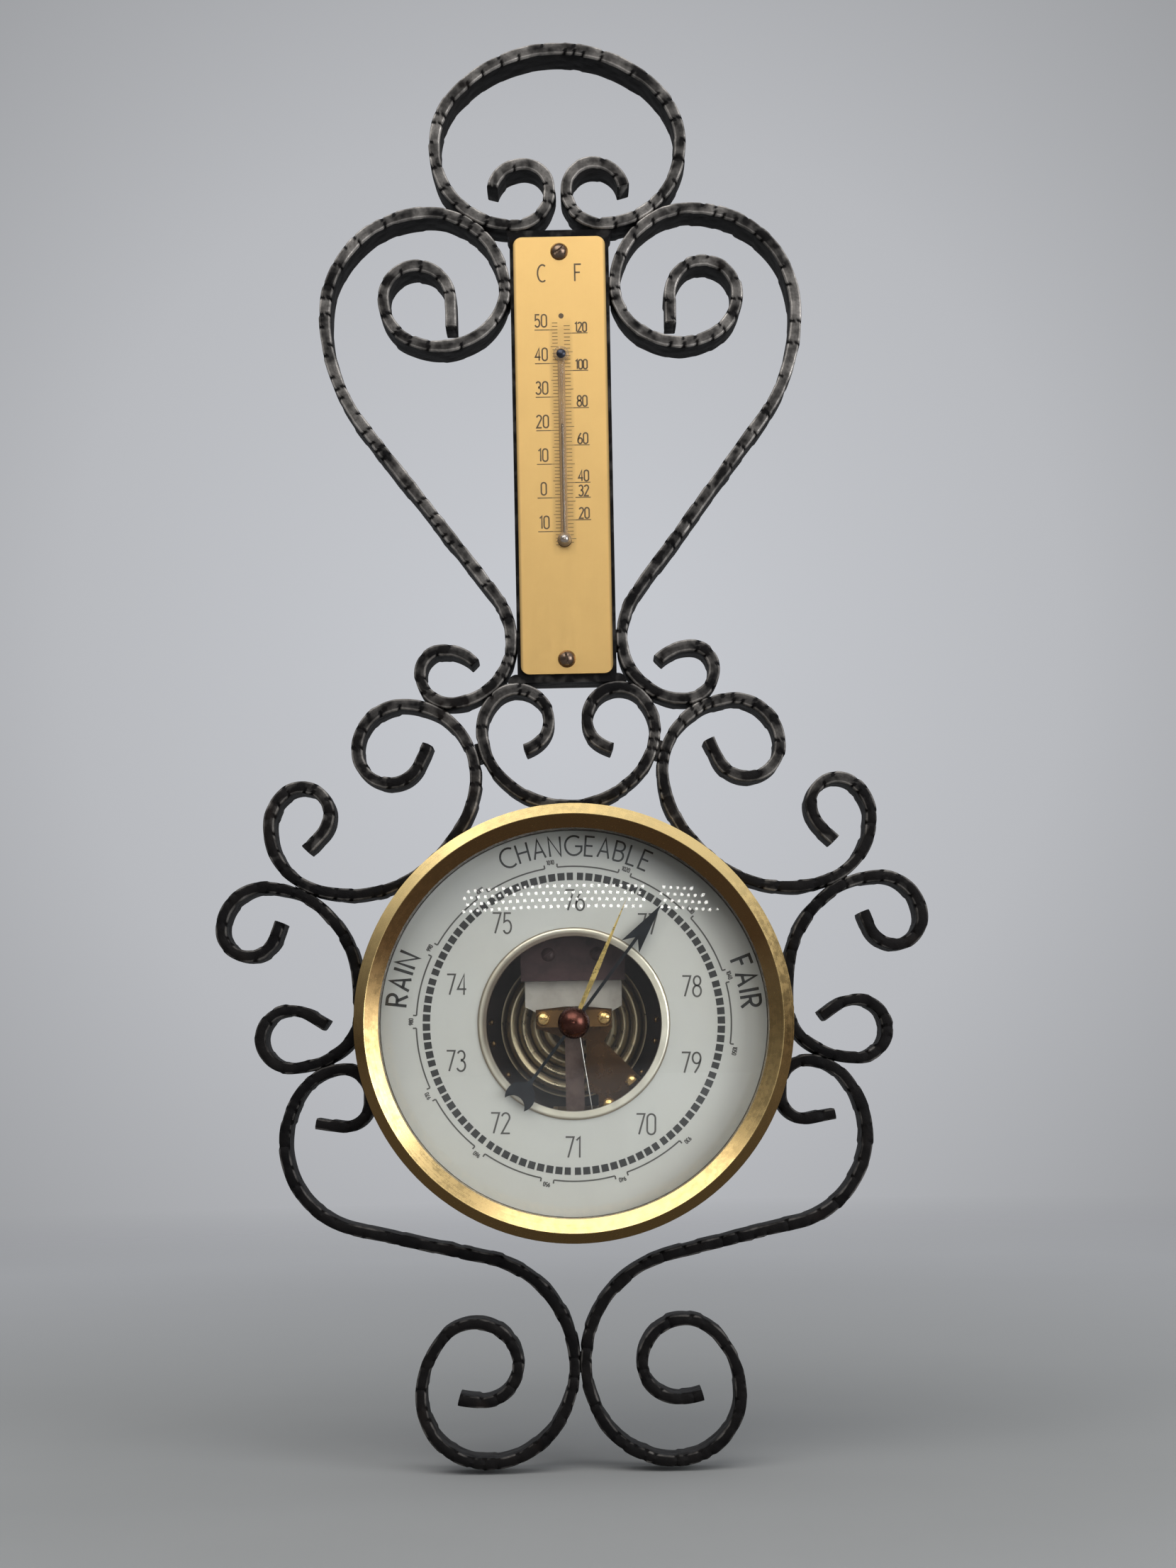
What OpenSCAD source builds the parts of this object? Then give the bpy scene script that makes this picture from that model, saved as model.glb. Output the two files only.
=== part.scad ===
// Wall weather station: wrought iron scrolls that carry a thermometer and an aneroid barometer.
// Every piece is drawn as seen from the front, x to the right, y up and z out from the wall,
// and to_row() then stands it up: x stays, y becomes +Z, and the front looks along -Y.
// The origin is on the dial's axis, in the plane of the wall.

/* [Iron bars] */
// Thickness of the flat iron bar that the scrolls are bent from
bar_t = 3; // [2:0.1:3.6]
// Depth of the flat bar, from its back edge to its front edge
bar_d = 12; // [9:0.5:14]
// Distance from the wall to the bars' back edge
bar_z = 16; // [13:0.5:18]
// Gap between neighbouring bars, which the welds fill
seam = 0.12; // [0.05:0.01:0.2]
// Radius of a weld bead
weld_r = 2.4; // [1.8:0.1:3]
// How far a weld stays back from the bars' front edges
weld_inset = 1.2; // [0.6:0.1:2]
// How far a weld stands out behind the bars
weld_back = 1.2; // [0.6:0.1:2]
// Outer radius of the iron hoop round the case
hoop_r = 59; // [54:0.5:64]
// How far the lyre scroll stands off the hoop
lyre_lift = 1; // [0.1:0.1:1.5]
// Drop from the dial's axis to the place where the base scrolls meet
base_drop = 95.7; // [90:0.5:100]

/* [Thermometer] */
// Width of the backing
backing_w = 28; // [25:0.5:32]
// Height of the backing
backing_h = 128.5; // [120:0.5:136]
// Sheet thickness of the backing
backing_t = 1.5; // [1:0.1:2]
// How far the backing shows at the sides of the brass scale plate
plate_side = 1; // [0.5:0.25:3]
// How far the backing shows above and below the brass scale plate
plate_end = 2.25; // [0.5:0.25:8]
// Thickness of the scale plate
plate_t = 1; // [0.6:0.1:1.6]
// Corner radius of the scale plate
plate_corner = 2.5; // [1:0.1:4]
// Distance from the plate's ends to its screws
plate_screw_in = 4.2; // [3.5:0.1:7]
// Radius of a plate screw's round head
plate_screw_head_r = 2.5; // [2:0.1:3]
// Radius of a plate screw's shank
plate_screw_r = 1.2; // [0.8:0.1:1.5]
// Length of a plate screw's shank behind the plate
plate_screw_l = 7; // [4:0.5:9]
// Outer radius of the glass tube
tube_r = 1; // [0.8:0.05:1.4]
// Radius of the tube's bore
bore_r = 0.4; // [0.3:0.05:0.5]
// Outer radius of the bulb
bulb_r = 2; // [1.7:0.1:2.4]
// Wall of the glass bulb
bulb_wall = 0.4; // [0.3:0.05:0.6]
// Height of the bulb above the backing's lower edge
bulb_lift = 40.1; // [36:0.5:44]
// Distance from the bulb up to the tube's top loop
tube_l = 52.5; // [48:0.5:58]
// Length of the mercury thread above the bulb at rest, which reads about 22 degrees C
thread_l = 32.7; // [10:0.1:44]
// Gap between the mercury thread and the bore
thread_gap = 0.05; // [0.03:0.01:0.08]

/* [Case] */
// Distance from the wall to the dial's front
dial_z = 29; // [27.6:0.1:30]
// Wall of the case drum
drum_t = 0.8; // [0.6:0.1:1.4]
// Thickness of the drum's back
drum_back_t = 1; // [0.6:0.1:1.6]
// Radial gap between drum and hoop, and between drum and bezel
drum_fit = 0.1; // [0.05:0.01:0.2]
// Width of the ledge inside the drum that the dial rests on
ledge_w = 2.5; // [1.5:0.1:4]
// Angles on the hoop of the three case screws
case_screw_angles = [25, 155, 270];
// Radius of a case screw's shank
case_screw_r = 1.5; // [1:0.1:1.8]
// Radius of a case screw's head
case_screw_head_r = 2.8; // [2.2:0.1:3.2]
// Height of a case screw's head
case_screw_head_h = 1.6; // [1:0.1:2]
// How far the bezel reaches out past the hoop
bezel_over = 2; // [0.5:0.1:4]
// Distance from the wall to the front of the bezel
bezel_z = 41.5; // [39:0.1:43]
// How far in from its outer edge the bezel's ridge stands
bezel_ridge = 3; // [2.4:0.1:3.6]
// How far the bezel slopes down from its ridge, to the outer edge and to the lip
bezel_slope = 2.2; // [1:0.1:3]
// How far the bezel's lip reaches in over the glass
lip_w = 0.8; // [0.4:0.1:3]
// Sheet thickness of the bezel
bezel_t = 0.8; // [0.5:0.05:1]
// Thickness of the glass
glass_t = 1.8; // [1.2:0.1:2.4]
// Rise of the domed glass from its rim to its middle
dome_h = 6; // [4.5:0.1:7]
// Height of the gasket between dial and glass
gasket_h = 2.4; // [1.8:0.1:3]
// Width of the gasket ring
gasket_w = 0.9; // [0.5:0.05:1.4]

/* [Dial and hands] */
// Thickness of the dial plate
dial_t = 0.8; // [0.5:0.1:1.2]
// Radius of the dial's opening
opening_r = 25.2; // [23:0.1:27]
// Inner radius of the bright rim in the opening
rim_in_r = 24.5; // [22:0.1:25]
// Outer radius of the bright rim on the dial
rim_out_r = 27; // [26:0.1:29]
// How far the bright rim stands up from the dial
rim_h = 0.9; // [0.5:0.1:1.5]
// Reading of the pressure hand, in degrees clockwise from the top
hand_angle = 37.4; // [20:0.1:60]
// Length of the pressure hand from its axis to its tip
hand_l = 41.3; // [36:0.1:44]
// Distance from the axis to the base of the arrowhead
arrow_from = 27.6; // [24:0.1:30]
// Width of the arrowhead across its barbs
arrow_w = 6; // [4:0.1:8]
// Distance from the axis to the middle of the tail's crescent
tail_l = 25.4; // [22:0.1:28]
// Radius of the tail's crescent
tail_r = 4.2; // [3:0.1:5]
// Width of the pressure hand's rod
hand_w = 0.9; // [0.6:0.1:1.4]
// Thickness of both hands
hand_t = 0.4; // [0.3:0.05:0.6]
// Height of the pressure hand above the dial
hand_lift = 2.2; // [1.6:0.1:2.6]
// Reading of the set hand, in degrees clockwise from the top
set_angle = 24; // [10:0.1:32]
// Length of the set hand from its axis to its tip
set_l = 38; // [32:0.1:41]
// Greatest width of the set hand
set_w = 1.5; // [1:0.1:2.4]
// Height of the set hand above the dial
set_lift = 4.8; // [4.2:0.1:5]
// Radius of the stem that joins knob and set hand
stem_r = 1.5; // [1.2:0.05:1.8]
// Radial running gap of stems, arbors and shafts in their bores
run_gap = 0.05; // [0.03:0.01:0.08]
// Radius of the set knob
knob_r = 4.4; // [3.6:0.1:5.4]
// Height of the set knob
knob_h = 5; // [3.5:0.1:6]
// Outer radius of the bushing in the glass
bushing_r = 2.3; // [2.1:0.05:2.8]

/* [Movement] */
// Gap between the movement's base plate and the dial's ledge, which it goes in past
base_gap = 2.6; // [0.5:0.1:12]
// Thickness of the base plate
base_t = 1.4; // [1:0.1:2]
// Distance from the axis to the rivets in the base plate
rivet_at = 24; // [22.5:0.1:26]
// Radius of a rivet's head
rivet_r = 0.9; // [0.6:0.1:1.2]
// Outer radius of the vacuum capsule
capsule_r = 21; // [18:0.1:21.5]
// Distance from the base plate to the capsule's middle plane
capsule_lift = 5; // [4.4:0.1:5.6]
// Rise of each diaphragm from rim to boss
capsule_rise = 2.2; // [1.6:0.1:2.6]
// Pitch of the capsule's corrugations
wave_pitch = 3.5; // [2.5:0.1:4.5]
// Height of the corrugations, from valley to crest
wave_h = 0.9; // [0.4:0.1:1.2]
// Sheet thickness of a diaphragm
diaphragm_t = 0.3; // [0.2:0.05:0.4]
// Radius of the capsule's flat boss
boss_r = 5; // [4:0.1:7]
// Distance from the base plate to the main spring
spring_lift = 12; // [11.4:0.1:12.6]
// Thickness of the main spring
spring_t = 1; // [0.6:0.1:1.4]
// Width of the main spring
spring_w = 27.6; // [22:0.1:30]
// Height above the axis of the bracket's edge, where the spring comes out
bracket_y = 12.4; // [11:0.1:15]
// Height of the spring bracket across the dial
bracket_h = 15; // [12:0.5:20]
// Height of the bracket's clamp above the spring
clamp_h = 4; // [3:0.1:4.6]
// Width of the lever strap
lever_w = 5.3; // [3.5:0.1:6.5]
// Thickness of the lever strap
lever_t = 1; // [0.6:0.1:1.2]
// Distance from the arbor down to the lever's link
link_at = 30; // [29:0.1:31]
// Radius of the link rod
link_r = 0.5; // [0.4:0.05:0.6]
// Play between the link rod and the crank's eye, the loop's open pivot
link_play = 0.7; // [0.65:0.05:0.8]
// Length of the rocker's crank
crank_l = 4; // [3.6:0.1:4.5]
// Height of the rocker shaft above the base plate
rocker_lift = 5.6; // [5:0.1:6.5]
// Radius of the rocker shaft
rocker_r = 1; // [0.8:0.05:1.2]
// Distance from the axis line to the chain's end on the rocker arm
chain_x = 4.8; // [4.2:0.1:5.2]
// Width of the rocker arm
rocker_arm_w = 1.6; // [1:0.1:2]
// Radius of the chain
chain_r = 0.2; // [0.15:0.05:0.25]
// Distance from the base plate to the movement arm
arm_lift = 16.6; // [16:0.1:17.2]
// Thickness of the movement arm and of the bridge
arm_t = 1.2; // [0.8:0.1:1.4]
// Distance between movement arm and bridge
bridge_gap = 3.8; // [3.6:0.1:4.2]
// Half the distance between the bridge's screws
bridge_x = 8.6; // [7:0.1:9.4]
// Radius of the movement's pillars
pillar_r = 1.6; // [1.2:0.1:1.9]
// Radius of the small screws' heads
screw_head_r = 2; // [1.6:0.1:2.4]
// Height of the small screws' heads
screw_head_h = 1.1; // [0.8:0.1:1.3]
// Radius of the hand arbor
arbor_r = 0.55; // [0.4:0.05:0.6]
// Radius of the drum that the chain winds on
chain_drum_r = 0.85; // [0.75:0.05:1]
// Radius of the adjusting screw
adjust_r = 1.8; // [1.4:0.1:2.4]
// Radius of the access hole in the drum's back
adjust_hole_r = 4; // [3:0.1:5]

/* [Hidden] */
$fn = 96;
// Overshoot that lets a cut pass right through
over = 1;
// Least gap that keeps two curved faces apart
hair = 0.05;
// Number of sides of the circles that thin crescents are cut with
fine = 360;
// How far each bend runs back into the one before it, so that a bar is one piece
lap = 0.2;
// How much thicker every second bend is drawn, so that no two faces meet edge to edge
bend_step = 0.01;
// Gap round parts that are set in loosely, such as the dial in its drum
loose = 0.2;
// Height of the small collars that keep moving parts apart
collar_h = 0.4;
// Thickness of the flange on the bushing in the glass
bushing_flange = 0.5;

// Bends of each bar, in order along it. [radius, angle] bends left, a negative angle bends right,
// and [0, length] runs straight on.
arch_bends = [[40, -45], [22.5, -135], [10, -90], [7.5, -90], [9, -75]];
heart_low_bends = [[17.5, 90], [8.5, 90], [6.5, 90], [13, 45]];
heart_turn = [22, -37];
heart_lobe_bends = [[29.4, 90], [21.7, 90], [15, 45], [20, 70], [13, 65], [9.5, 180], [0, 8]];
lyre_bends = [[26, 50], [19.5, 40], [12.18, 50], [9, 130], [8, 55], [15, 15]];
shoulder_out_bends = [[34, 41], [30, 25], [18, 65], [13, 45], [8, 45], [7.5, 90], [9, 45], [0, 5.5]];
shoulder_up_bends = [[45, -20], [26.4, -29], [20.3, -90], [13, -90], [9.2, -155], [0, 6]];
side_up_bends = [[60, -12], [30, -41], [24, -40], [12, -90], [7.5, -90], [8, -70], [0, 4.5]];
side_low_bends = [[13.6, 52], [24, 35], [8.2, 180], [12, 35], [0, 4]];
base_low_bends = [[24, 60], [18.5, 90], [25, 43], [12, 140], [10, 90], [30, 12]];
base_turn = [31, -107];
base_top_bends = [[25, 117], [14, 50], [7.5, 90], [0, 2], [7, 100], [0, 7]];

// Where a bar stands after a bend: [x, y, heading]
function after_bend(p, b) = b[0] == 0
    ? [p[0] + b[1] * cos(p[2]), p[1] + b[1] * sin(p[2]), p[2]]
    : let (side = sign(b[1]), h = p[2] + b[1])
        [p[0] + side * b[0] * (sin(h) - sin(p[2])), p[1] - side * b[0] * (cos(h) - cos(p[2])), h];
function after_bends(p, bends, count) = count == 0
    ? p
    : after_bend(after_bends(p, bends, count - 1), bends[count - 1]);
// Centre of bend number i of a bar that starts at p
function bend_centre(p, bends, i) =
    let (q = after_bends(p, bends, i), side = sign(bends[i][1]), r = bends[i][0])
    [q[0] - side * r * sin(q[2]), q[1] + side * r * cos(q[2])];
function join(a, b) = [for (v = a) v, for (v = b) v];
// Centre distance of two bends, r1 and r2, whose outer faces are a seam apart
function reach(r1, r2) = r1 + r2 + bar_t + seam;
// Height of a point at x that stands at the distance d from c, above it or below it
function above(c, x, d) = c[1] + sqrt(d * d - (x - c[0]) * (x - c[0]));
function below(c, x, d) = c[1] - sqrt(d * d - (x - c[0]) * (x - c[0]));
function angle_of(p) = atan2(p[1], p[0]);
// How far c turns about the dial's axis until it stands at the distance d from the point p below it
function turn_to(c, p, d) =
    angle_of(p) - angle_of(c) + acos((c * c + p * p - d * d) / (2 * norm(c) * norm(p)));

// Levels above the wall
bar_front = bar_z + bar_d;
base_front = drum_back_t + base_t;
capsule_z = base_front + capsule_lift;
spring_z = base_front + spring_lift;
lever_z = spring_z + spring_t;
arm_z = base_front + arm_lift;
arm_front = arm_z + arm_t;
bridge_z = arm_front + bridge_gap;
bridge_front = bridge_z + arm_t;
rocker_z = base_front + rocker_lift;
drum_z = arm_front + collar_h;
drum_h = 1.7;
chain_z = drum_z + drum_h / 2;
dial_back = dial_z - dial_t;
hand_z = dial_z + hand_lift;
set_z = dial_z + set_lift;
glass_rim_z = dial_z + gasket_h;
glass_z = glass_rim_z + glass_t;
glass_top = glass_z + dome_h;

// Radii of the case, from the hoop inwards
hoop_in_r = hoop_r - bar_t;
drum_r = hoop_in_r - drum_fit;
drum_in_r = drum_r - drum_t;
glass_r = drum_in_r - drum_fit;
dial_r = drum_in_r - loose;
base_r = drum_in_r - ledge_w - base_gap;
dome_r = (glass_r * glass_r + dome_h * dome_h) / (2 * dome_h);
dome_centre = glass_top - dome_r;
lip_r = glass_r - lip_w;
lip_z = dome_centre + sqrt(dome_r * dome_r - lip_r * lip_r) + drum_fit;
bezel_r = hoop_r + bezel_over;

// Where each bar starts. The lyre stands on the hoop, the backing on the lyre's curls, the arch on
// the backing, and each heart scroll touches the lyre below and the arch above.
contact_r = hoop_r + seam + bar_t / 2;
contact_x = backing_w / 2 + seam + bar_t / 2;
lyre_start = [0, contact_r + lyre_lift, 0];
lyre_curl = bend_centre(lyre_start, lyre_bends, 3);
lyre_curl_r = lyre_bends[3][0];
backing_y = lyre_curl[1] + lyre_curl_r + bar_t / 2 + seam;
backing_top = backing_y + backing_h;
arch_start = [0, backing_top + seam + bar_t / 2 - after_bends([0, 0, 0], arch_bends, 2)[1], 0];
heart_low_r = heart_low_bends[0][0];
heart_at = above(lyre_curl, contact_x + heart_low_r, reach(heart_low_r, lyre_curl_r));
heart_down_start = [contact_x, heart_at, -90];
heart_up_start = [contact_x, heart_at, 90];

// The heart's straight run and its shoulder bend bring the lobe back to the backing, just under the arch
lobe_r = heart_lobe_bends[1][0];
lobe_y = below(bend_centre(arch_start, arch_bends, 1), contact_x + lobe_r, reach(arch_bends[1][0], lobe_r));
heart_heading = 90 + heart_turn[1];
heart_turned = after_bend(heart_up_start, heart_turn);
heart_back = after_bends([0, 0, 90], heart_lobe_bends, 2);
heart_x = contact_x - heart_turned[0] - heart_back[0];
heart_y = lobe_y - heart_turned[1] - heart_back[1];
heart_spare = 1 - sin(heart_heading);
heart_run = heart_x * cos(heart_heading) / heart_spare - heart_y;
heart_shoulder_r = (heart_y * cos(heart_heading) - heart_x * sin(heart_heading)) / heart_spare;
heart_up_bends = join([heart_turn, [0, heart_run], [heart_shoulder_r, -heart_turn[1]]], heart_lobe_bends);

// The base scroll's straight run ends where its top curl touches the hoop
base_x = (bar_t + seam) / 2;
base_centre = [base_x + base_turn[0], -base_drop];
base_below = 30;
base_up_start = [base_centre[0] - base_turn[0] * cos(base_below),
    base_centre[1] - base_turn[0] * sin(base_below), 90 + base_below];
base_down_start = base_up_start - [0, 0, 180];
base_heading = base_up_start[2] + base_turn[1];
base_no_run = join([base_turn, [0, 0]], base_top_bends);
curl_index = 4;
curl_no_run = bend_centre(base_up_start, base_no_run, curl_index);
curl_along = curl_no_run[0] * cos(base_heading) + curl_no_run[1] * sin(base_heading);
curl_reach = contact_r + base_no_run[curl_index][0];
base_run = -curl_along + sqrt(curl_along * curl_along + curl_reach * curl_reach
    - curl_no_run[0] * curl_no_run[0] - curl_no_run[1] * curl_no_run[1]);
base_up_bends = join([base_turn, [0, base_run]], base_top_bends);

// A side scroll stands on the base scroll's shoulder, and a shoulder scroll on the side scroll's
function on_hoop(angle, heading) = [contact_r * cos(angle), contact_r * sin(angle), angle + heading];
side_at = turn_to(bend_centre(on_hoop(0, -90), side_low_bends, 1),
    bend_centre(base_up_start, base_up_bends, 3), reach(side_low_bends[1][0], base_up_bends[3][0]));
side_start = on_hoop(side_at, 90);
side_down_start = on_hoop(side_at, -90);
shoulder_at = turn_to(bend_centre(on_hoop(0, -90), shoulder_out_bends, 1),
    bend_centre(side_start, side_up_bends, 2), reach(shoulder_out_bends[1][0], side_up_bends[2][0]));
shoulder_start = on_hoop(shoulder_at, -90);
shoulder_up_start = on_hoop(shoulder_at, 90);

iron = [0.09, 0.09, 0.1];
brass = [0.78, 0.62, 0.32];
old_brass = [0.5, 0.38, 0.2];
steel = [0.55, 0.54, 0.52];
blued = [0.1, 0.1, 0.13];

module to_row() {
    rotate([90, 0, 0]) children();
}

module disc(r, z, h) {
    translate([0, 0, z]) cylinder(r = r, h = h);
}

module ring(r_out, r_in, z, h) {
    difference() {
        disc(r_out, z, h);
        disc(r_in, z - over, h + 2 * over);
    }
}

module post(x, y, r, z, h) {
    translate([x, y, 0]) disc(r, z, h);
}

// A domed round head: a slice of a ball, h high over a circle of radius r
module dome(x, y, r, z, h) {
    ball_r = (r * r + h * h) / (2 * h);
    translate([x, y, z]) intersection() {
        translate([0, 0, h - ball_r]) sphere(r = ball_r);
        cylinder(r = r + over, h = h + over);
    }
}

// A slotted round head
module slotted_dome(x, y, r, z, h, slot_angle) {
    difference() {
        dome(x, y, r, z, h);
        translate([x, y, z + h * 0.6]) rotate(slot_angle)
            translate([-r - over, -r * 0.13, 0]) cube([2 * (r + over), r * 0.26, h + over]);
    }
}

// The part of a flat ring, t thick, that a bend takes up from its start at p
module bend_outline(p, b, t) {
    r = b[0];
    side = sign(b[1]);
    lap_angle = lap / r * 180 / PI;
    from = side > 0 ? -90 - lap_angle : 90 + b[1];
    sweep = abs(b[1]) + lap_angle;
    translate([p[0], p[1]]) rotate(p[2]) translate([0, side * r]) intersection() {
        difference() {
            circle(r = r + t / 2);
            circle(r = r - t / 2);
        }
        polygon([[0, 0], for (i = [0 : 5]) 2 * r * [cos(from + i * sweep / 5), sin(from + i * sweep / 5)]]);
    }
}

// Every second bend is drawn thicker, counted from number first
module bent_bar(start, bends, first = 0) {
    translate([0, 0, bar_z]) linear_extrude(bar_d) for (i = [0 : len(bends) - 1]) {
        p = after_bends(start, bends, i);
        t = bar_t + (i + first) % 2 * bend_step;
        if (bends[i][0] == 0)
            translate([p[0], p[1]]) rotate(p[2]) translate([-lap, -t / 2])
                square([bends[i][1] + lap, t]);
        else
            bend_outline(p, bends[i], t);
    }
}

module both_sides() {
    children();
    mirror([1, 0, 0]) children();
}

module on_left() {
    mirror([1, 0, 0]) children();
}

module top_arch() {
    color(iron) to_row() both_sides() bent_bar(arch_start, arch_bends);
}

module heart_scroll() {
    bent_bar(heart_down_start, heart_low_bends, 1);
    bent_bar(heart_up_start, heart_up_bends);
}

module heart_scroll_left() {
    color(iron) to_row() on_left() heart_scroll();
}

module heart_scroll_right() {
    color(iron) to_row() heart_scroll();
}

module lyre_scroll() {
    color(iron) to_row() both_sides() bent_bar(lyre_start, lyre_bends);
}

module shoulder_scroll() {
    bent_bar(shoulder_start, shoulder_out_bends, 1);
    bent_bar(shoulder_up_start, shoulder_up_bends);
}

module shoulder_scroll_left() {
    color(iron) to_row() on_left() shoulder_scroll();
}

module shoulder_scroll_right() {
    color(iron) to_row() shoulder_scroll();
}

module side_scroll() {
    bent_bar(side_start, side_up_bends);
    bent_bar(side_down_start, side_low_bends, 1);
}

module side_scroll_left() {
    color(iron) to_row() on_left() side_scroll();
}

module side_scroll_right() {
    color(iron) to_row() side_scroll();
}

module base_scroll() {
    bent_bar(base_up_start, base_up_bends);
    bent_bar(base_down_start, base_low_bends, 1);
}

module base_scroll_left() {
    color(iron) to_row() on_left() base_scroll();
}

module base_scroll_right() {
    color(iron) to_row() base_scroll();
}

// A screw along a radius of the hoop, drawn along +z
module case_screw_bore(r) {
    for (a = case_screw_angles)
        translate([0, 0, bar_z + bar_d / 2]) rotate(a) rotate([0, 90, 0]) cylinder(r = r, h = hoop_r + over);
}

module case_hoop() {
    color(iron) to_row() difference() {
        ring(hoop_r, hoop_in_r, bar_z, bar_d);
        case_screw_bore(case_screw_r);
    }
}

// Weld metal at the point p: a low cone behind the bars, and up to the height top between them
module weld_metal(p, top) {
    translate([p[0], p[1], bar_z]) rotate_extrude()
        polygon([[0, -weld_back], [weld_r / 2, -weld_back], [weld_r, 0], [weld_r, top], [0, top]]);
}

// The space that a bend of radius r about c takes from a weld
module bend_space(c, r) {
    post(c[0], c[1], r + bar_t / 2 + bend_step, bar_z - hair, bar_d, $fn = fine);
}

// A weld between a bend of radius r1 about c1 and one of radius r2 about c2
module weld(c1, r1, c2, r2) {
    gap = norm(c2 - c1);
    difference() {
        weld_metal(c1 + (c2 - c1) / gap * (r1 + (gap - r1 - r2) / 2), bar_d - weld_inset);
        bend_space(c1, r1);
        bend_space(c2, r2);
    }
}

backing_d = bar_d - plate_t;

// A weld between a bend of radius r about c and the flat side of the backing, at the point p
module flat_weld(p, c, r) {
    difference() {
        weld_metal(p, backing_d - hair);
        bend_space(c, r);
        translate([-backing_w / 2, backing_y, bar_z - hair]) cube([backing_w, backing_h, bar_d]);
    }
}

module side_welds() {
    hoop_mid_r = hoop_r - bar_t / 2;
    weld(bend_centre(arch_start, arch_bends, 1), arch_bends[1][0],
        bend_centre(heart_up_start, heart_up_bends, 4), heart_up_bends[4][0]);
    weld(bend_centre(heart_down_start, heart_low_bends, 0), heart_low_bends[0][0],
        bend_centre(lyre_start, lyre_bends, 2), lyre_bends[2][0]);
    weld(bend_centre(heart_down_start, heart_low_bends, 1), heart_low_bends[1][0],
        bend_centre(shoulder_up_start, shoulder_up_bends, 2), shoulder_up_bends[2][0]);
    weld(bend_centre(lyre_start, lyre_bends, 1), lyre_bends[1][0],
        bend_centre(shoulder_up_start, shoulder_up_bends, 2), shoulder_up_bends[2][0]);
    weld([0, 0], hoop_mid_r, bend_centre(shoulder_up_start, shoulder_up_bends, 0), shoulder_up_bends[0][0]);
    weld(bend_centre(shoulder_start, shoulder_out_bends, 1), shoulder_out_bends[1][0],
        bend_centre(side_start, side_up_bends, 2), side_up_bends[2][0]);
    weld([0, 0], hoop_mid_r, bend_centre(side_start, side_up_bends, 0), side_up_bends[0][0]);
    weld(bend_centre(side_down_start, side_low_bends, 1), side_low_bends[1][0],
        bend_centre(base_up_start, base_up_bends, 3), base_up_bends[3][0]);
    weld([0, 0], hoop_mid_r, bend_centre(base_up_start, base_up_bends, curl_index),
        base_up_bends[curl_index][0]);
    flat_weld([backing_w / 2, heart_at], bend_centre(heart_up_start, heart_up_bends, 0), heart_turn[0]);
    flat_weld([backing_w / 2, lobe_y], bend_centre(heart_up_start, heart_up_bends, 4), lobe_r);
    flat_weld([after_bends(arch_start, arch_bends, 2)[0], backing_top],
        bend_centre(arch_start, arch_bends, 1), arch_bends[1][0]);
    flat_weld([lyre_curl[0], backing_y], lyre_curl, lyre_curl_r);
}

module weld_beads() {
    color(iron) to_row() {
        both_sides() side_welds();
        weld([0, 0], hoop_r - bar_t / 2, [0, lyre_start[1] + lyre_bends[0][0]], lyre_bends[0][0]);
        weld(base_centre, base_turn[0], [-base_centre[0], base_centre[1]], base_turn[0]);
    }
}

// Places on the thermometer
plate_w = backing_w - 2 * plate_side;
plate_h = backing_h - 2 * plate_end;
plate_y = backing_y + (backing_h - plate_h) / 2;
plate_z = bar_front - plate_t;
plate_screw_ys = [plate_y + plate_screw_in, plate_y + plate_h - plate_screw_in];
tube_z = plate_z + hair + bulb_r;
bulb_y = backing_y + bulb_lift;
loop_r = 1.6 * tube_r;
loop_y = bulb_y + tube_l;
pin_r = loop_r - tube_r * 0.6 - hair;

module rounded_plate(w, h, corner, t) {
    linear_extrude(t) union() {
        translate([-w / 2 + corner, 0]) square([w - 2 * corner, h]);
        translate([-w / 2, corner]) square([w, h - 2 * corner]);
        for (x = [-w / 2 + corner, w / 2 - corner], y = [corner, h - corner])
            translate([x, y]) circle(r = corner);
    }
}

module plate_screw_bores(r) {
    for (y = plate_screw_ys) post(0, y, r, bar_z - over, bar_d + 2 * over);
}

module thermometer_backing() {
    color(iron) to_row() difference() {
        translate([-backing_w / 2, backing_y, bar_z]) cube([backing_w, backing_h, backing_d]);
        translate([-backing_w / 2 + backing_t, backing_y + backing_t, bar_z - over])
            cube([backing_w - 2 * backing_t, backing_h - 2 * backing_t, backing_d - backing_t + over]);
        plate_screw_bores(plate_screw_r);
    }
}

module scale_plate() {
    color(brass) to_row() difference() {
        translate([0, plate_y, plate_z]) rounded_plate(plate_w, plate_h, plate_corner, plate_t);
        plate_screw_bores(plate_screw_r);
        post(0, bulb_y, bulb_r + hair, plate_z - over, plate_t + 2 * over);
        post(0, loop_y, pin_r, plate_z - over, plate_t + 2 * over);
    }
}

module plate_screws() {
    color(old_brass) to_row() for (y = plate_screw_ys) {
        slotted_dome(0, y, plate_screw_head_r, bar_front, plate_screw_head_r * 0.7, y);
        post(0, y, plate_screw_r, bar_front - plate_t - plate_screw_l, plate_t + plate_screw_l);
    }
}

// The tube's outer form without its bore: bulb, stem and the loop at its top
module glass_tube() {
    color([0.8, 0.86, 0.86, 0.5]) to_row() difference() {
        union() {
            translate([0, bulb_y, tube_z]) sphere(r = bulb_r);
            translate([0, bulb_y, tube_z]) rotate([-90, 0, 0]) cylinder(r = tube_r, h = tube_l - loop_r);
            translate([0, loop_y, tube_z]) rotate_extrude() translate([loop_r, 0]) circle(r = tube_r * 0.6);
        }
        translate([0, bulb_y, tube_z]) sphere(r = bulb_r - bulb_wall);
        translate([0, bulb_y, tube_z]) rotate([-90, 0, 0])
            cylinder(r = bore_r, h = tube_l - loop_r - tube_r * 1.5);
    }
}

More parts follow.
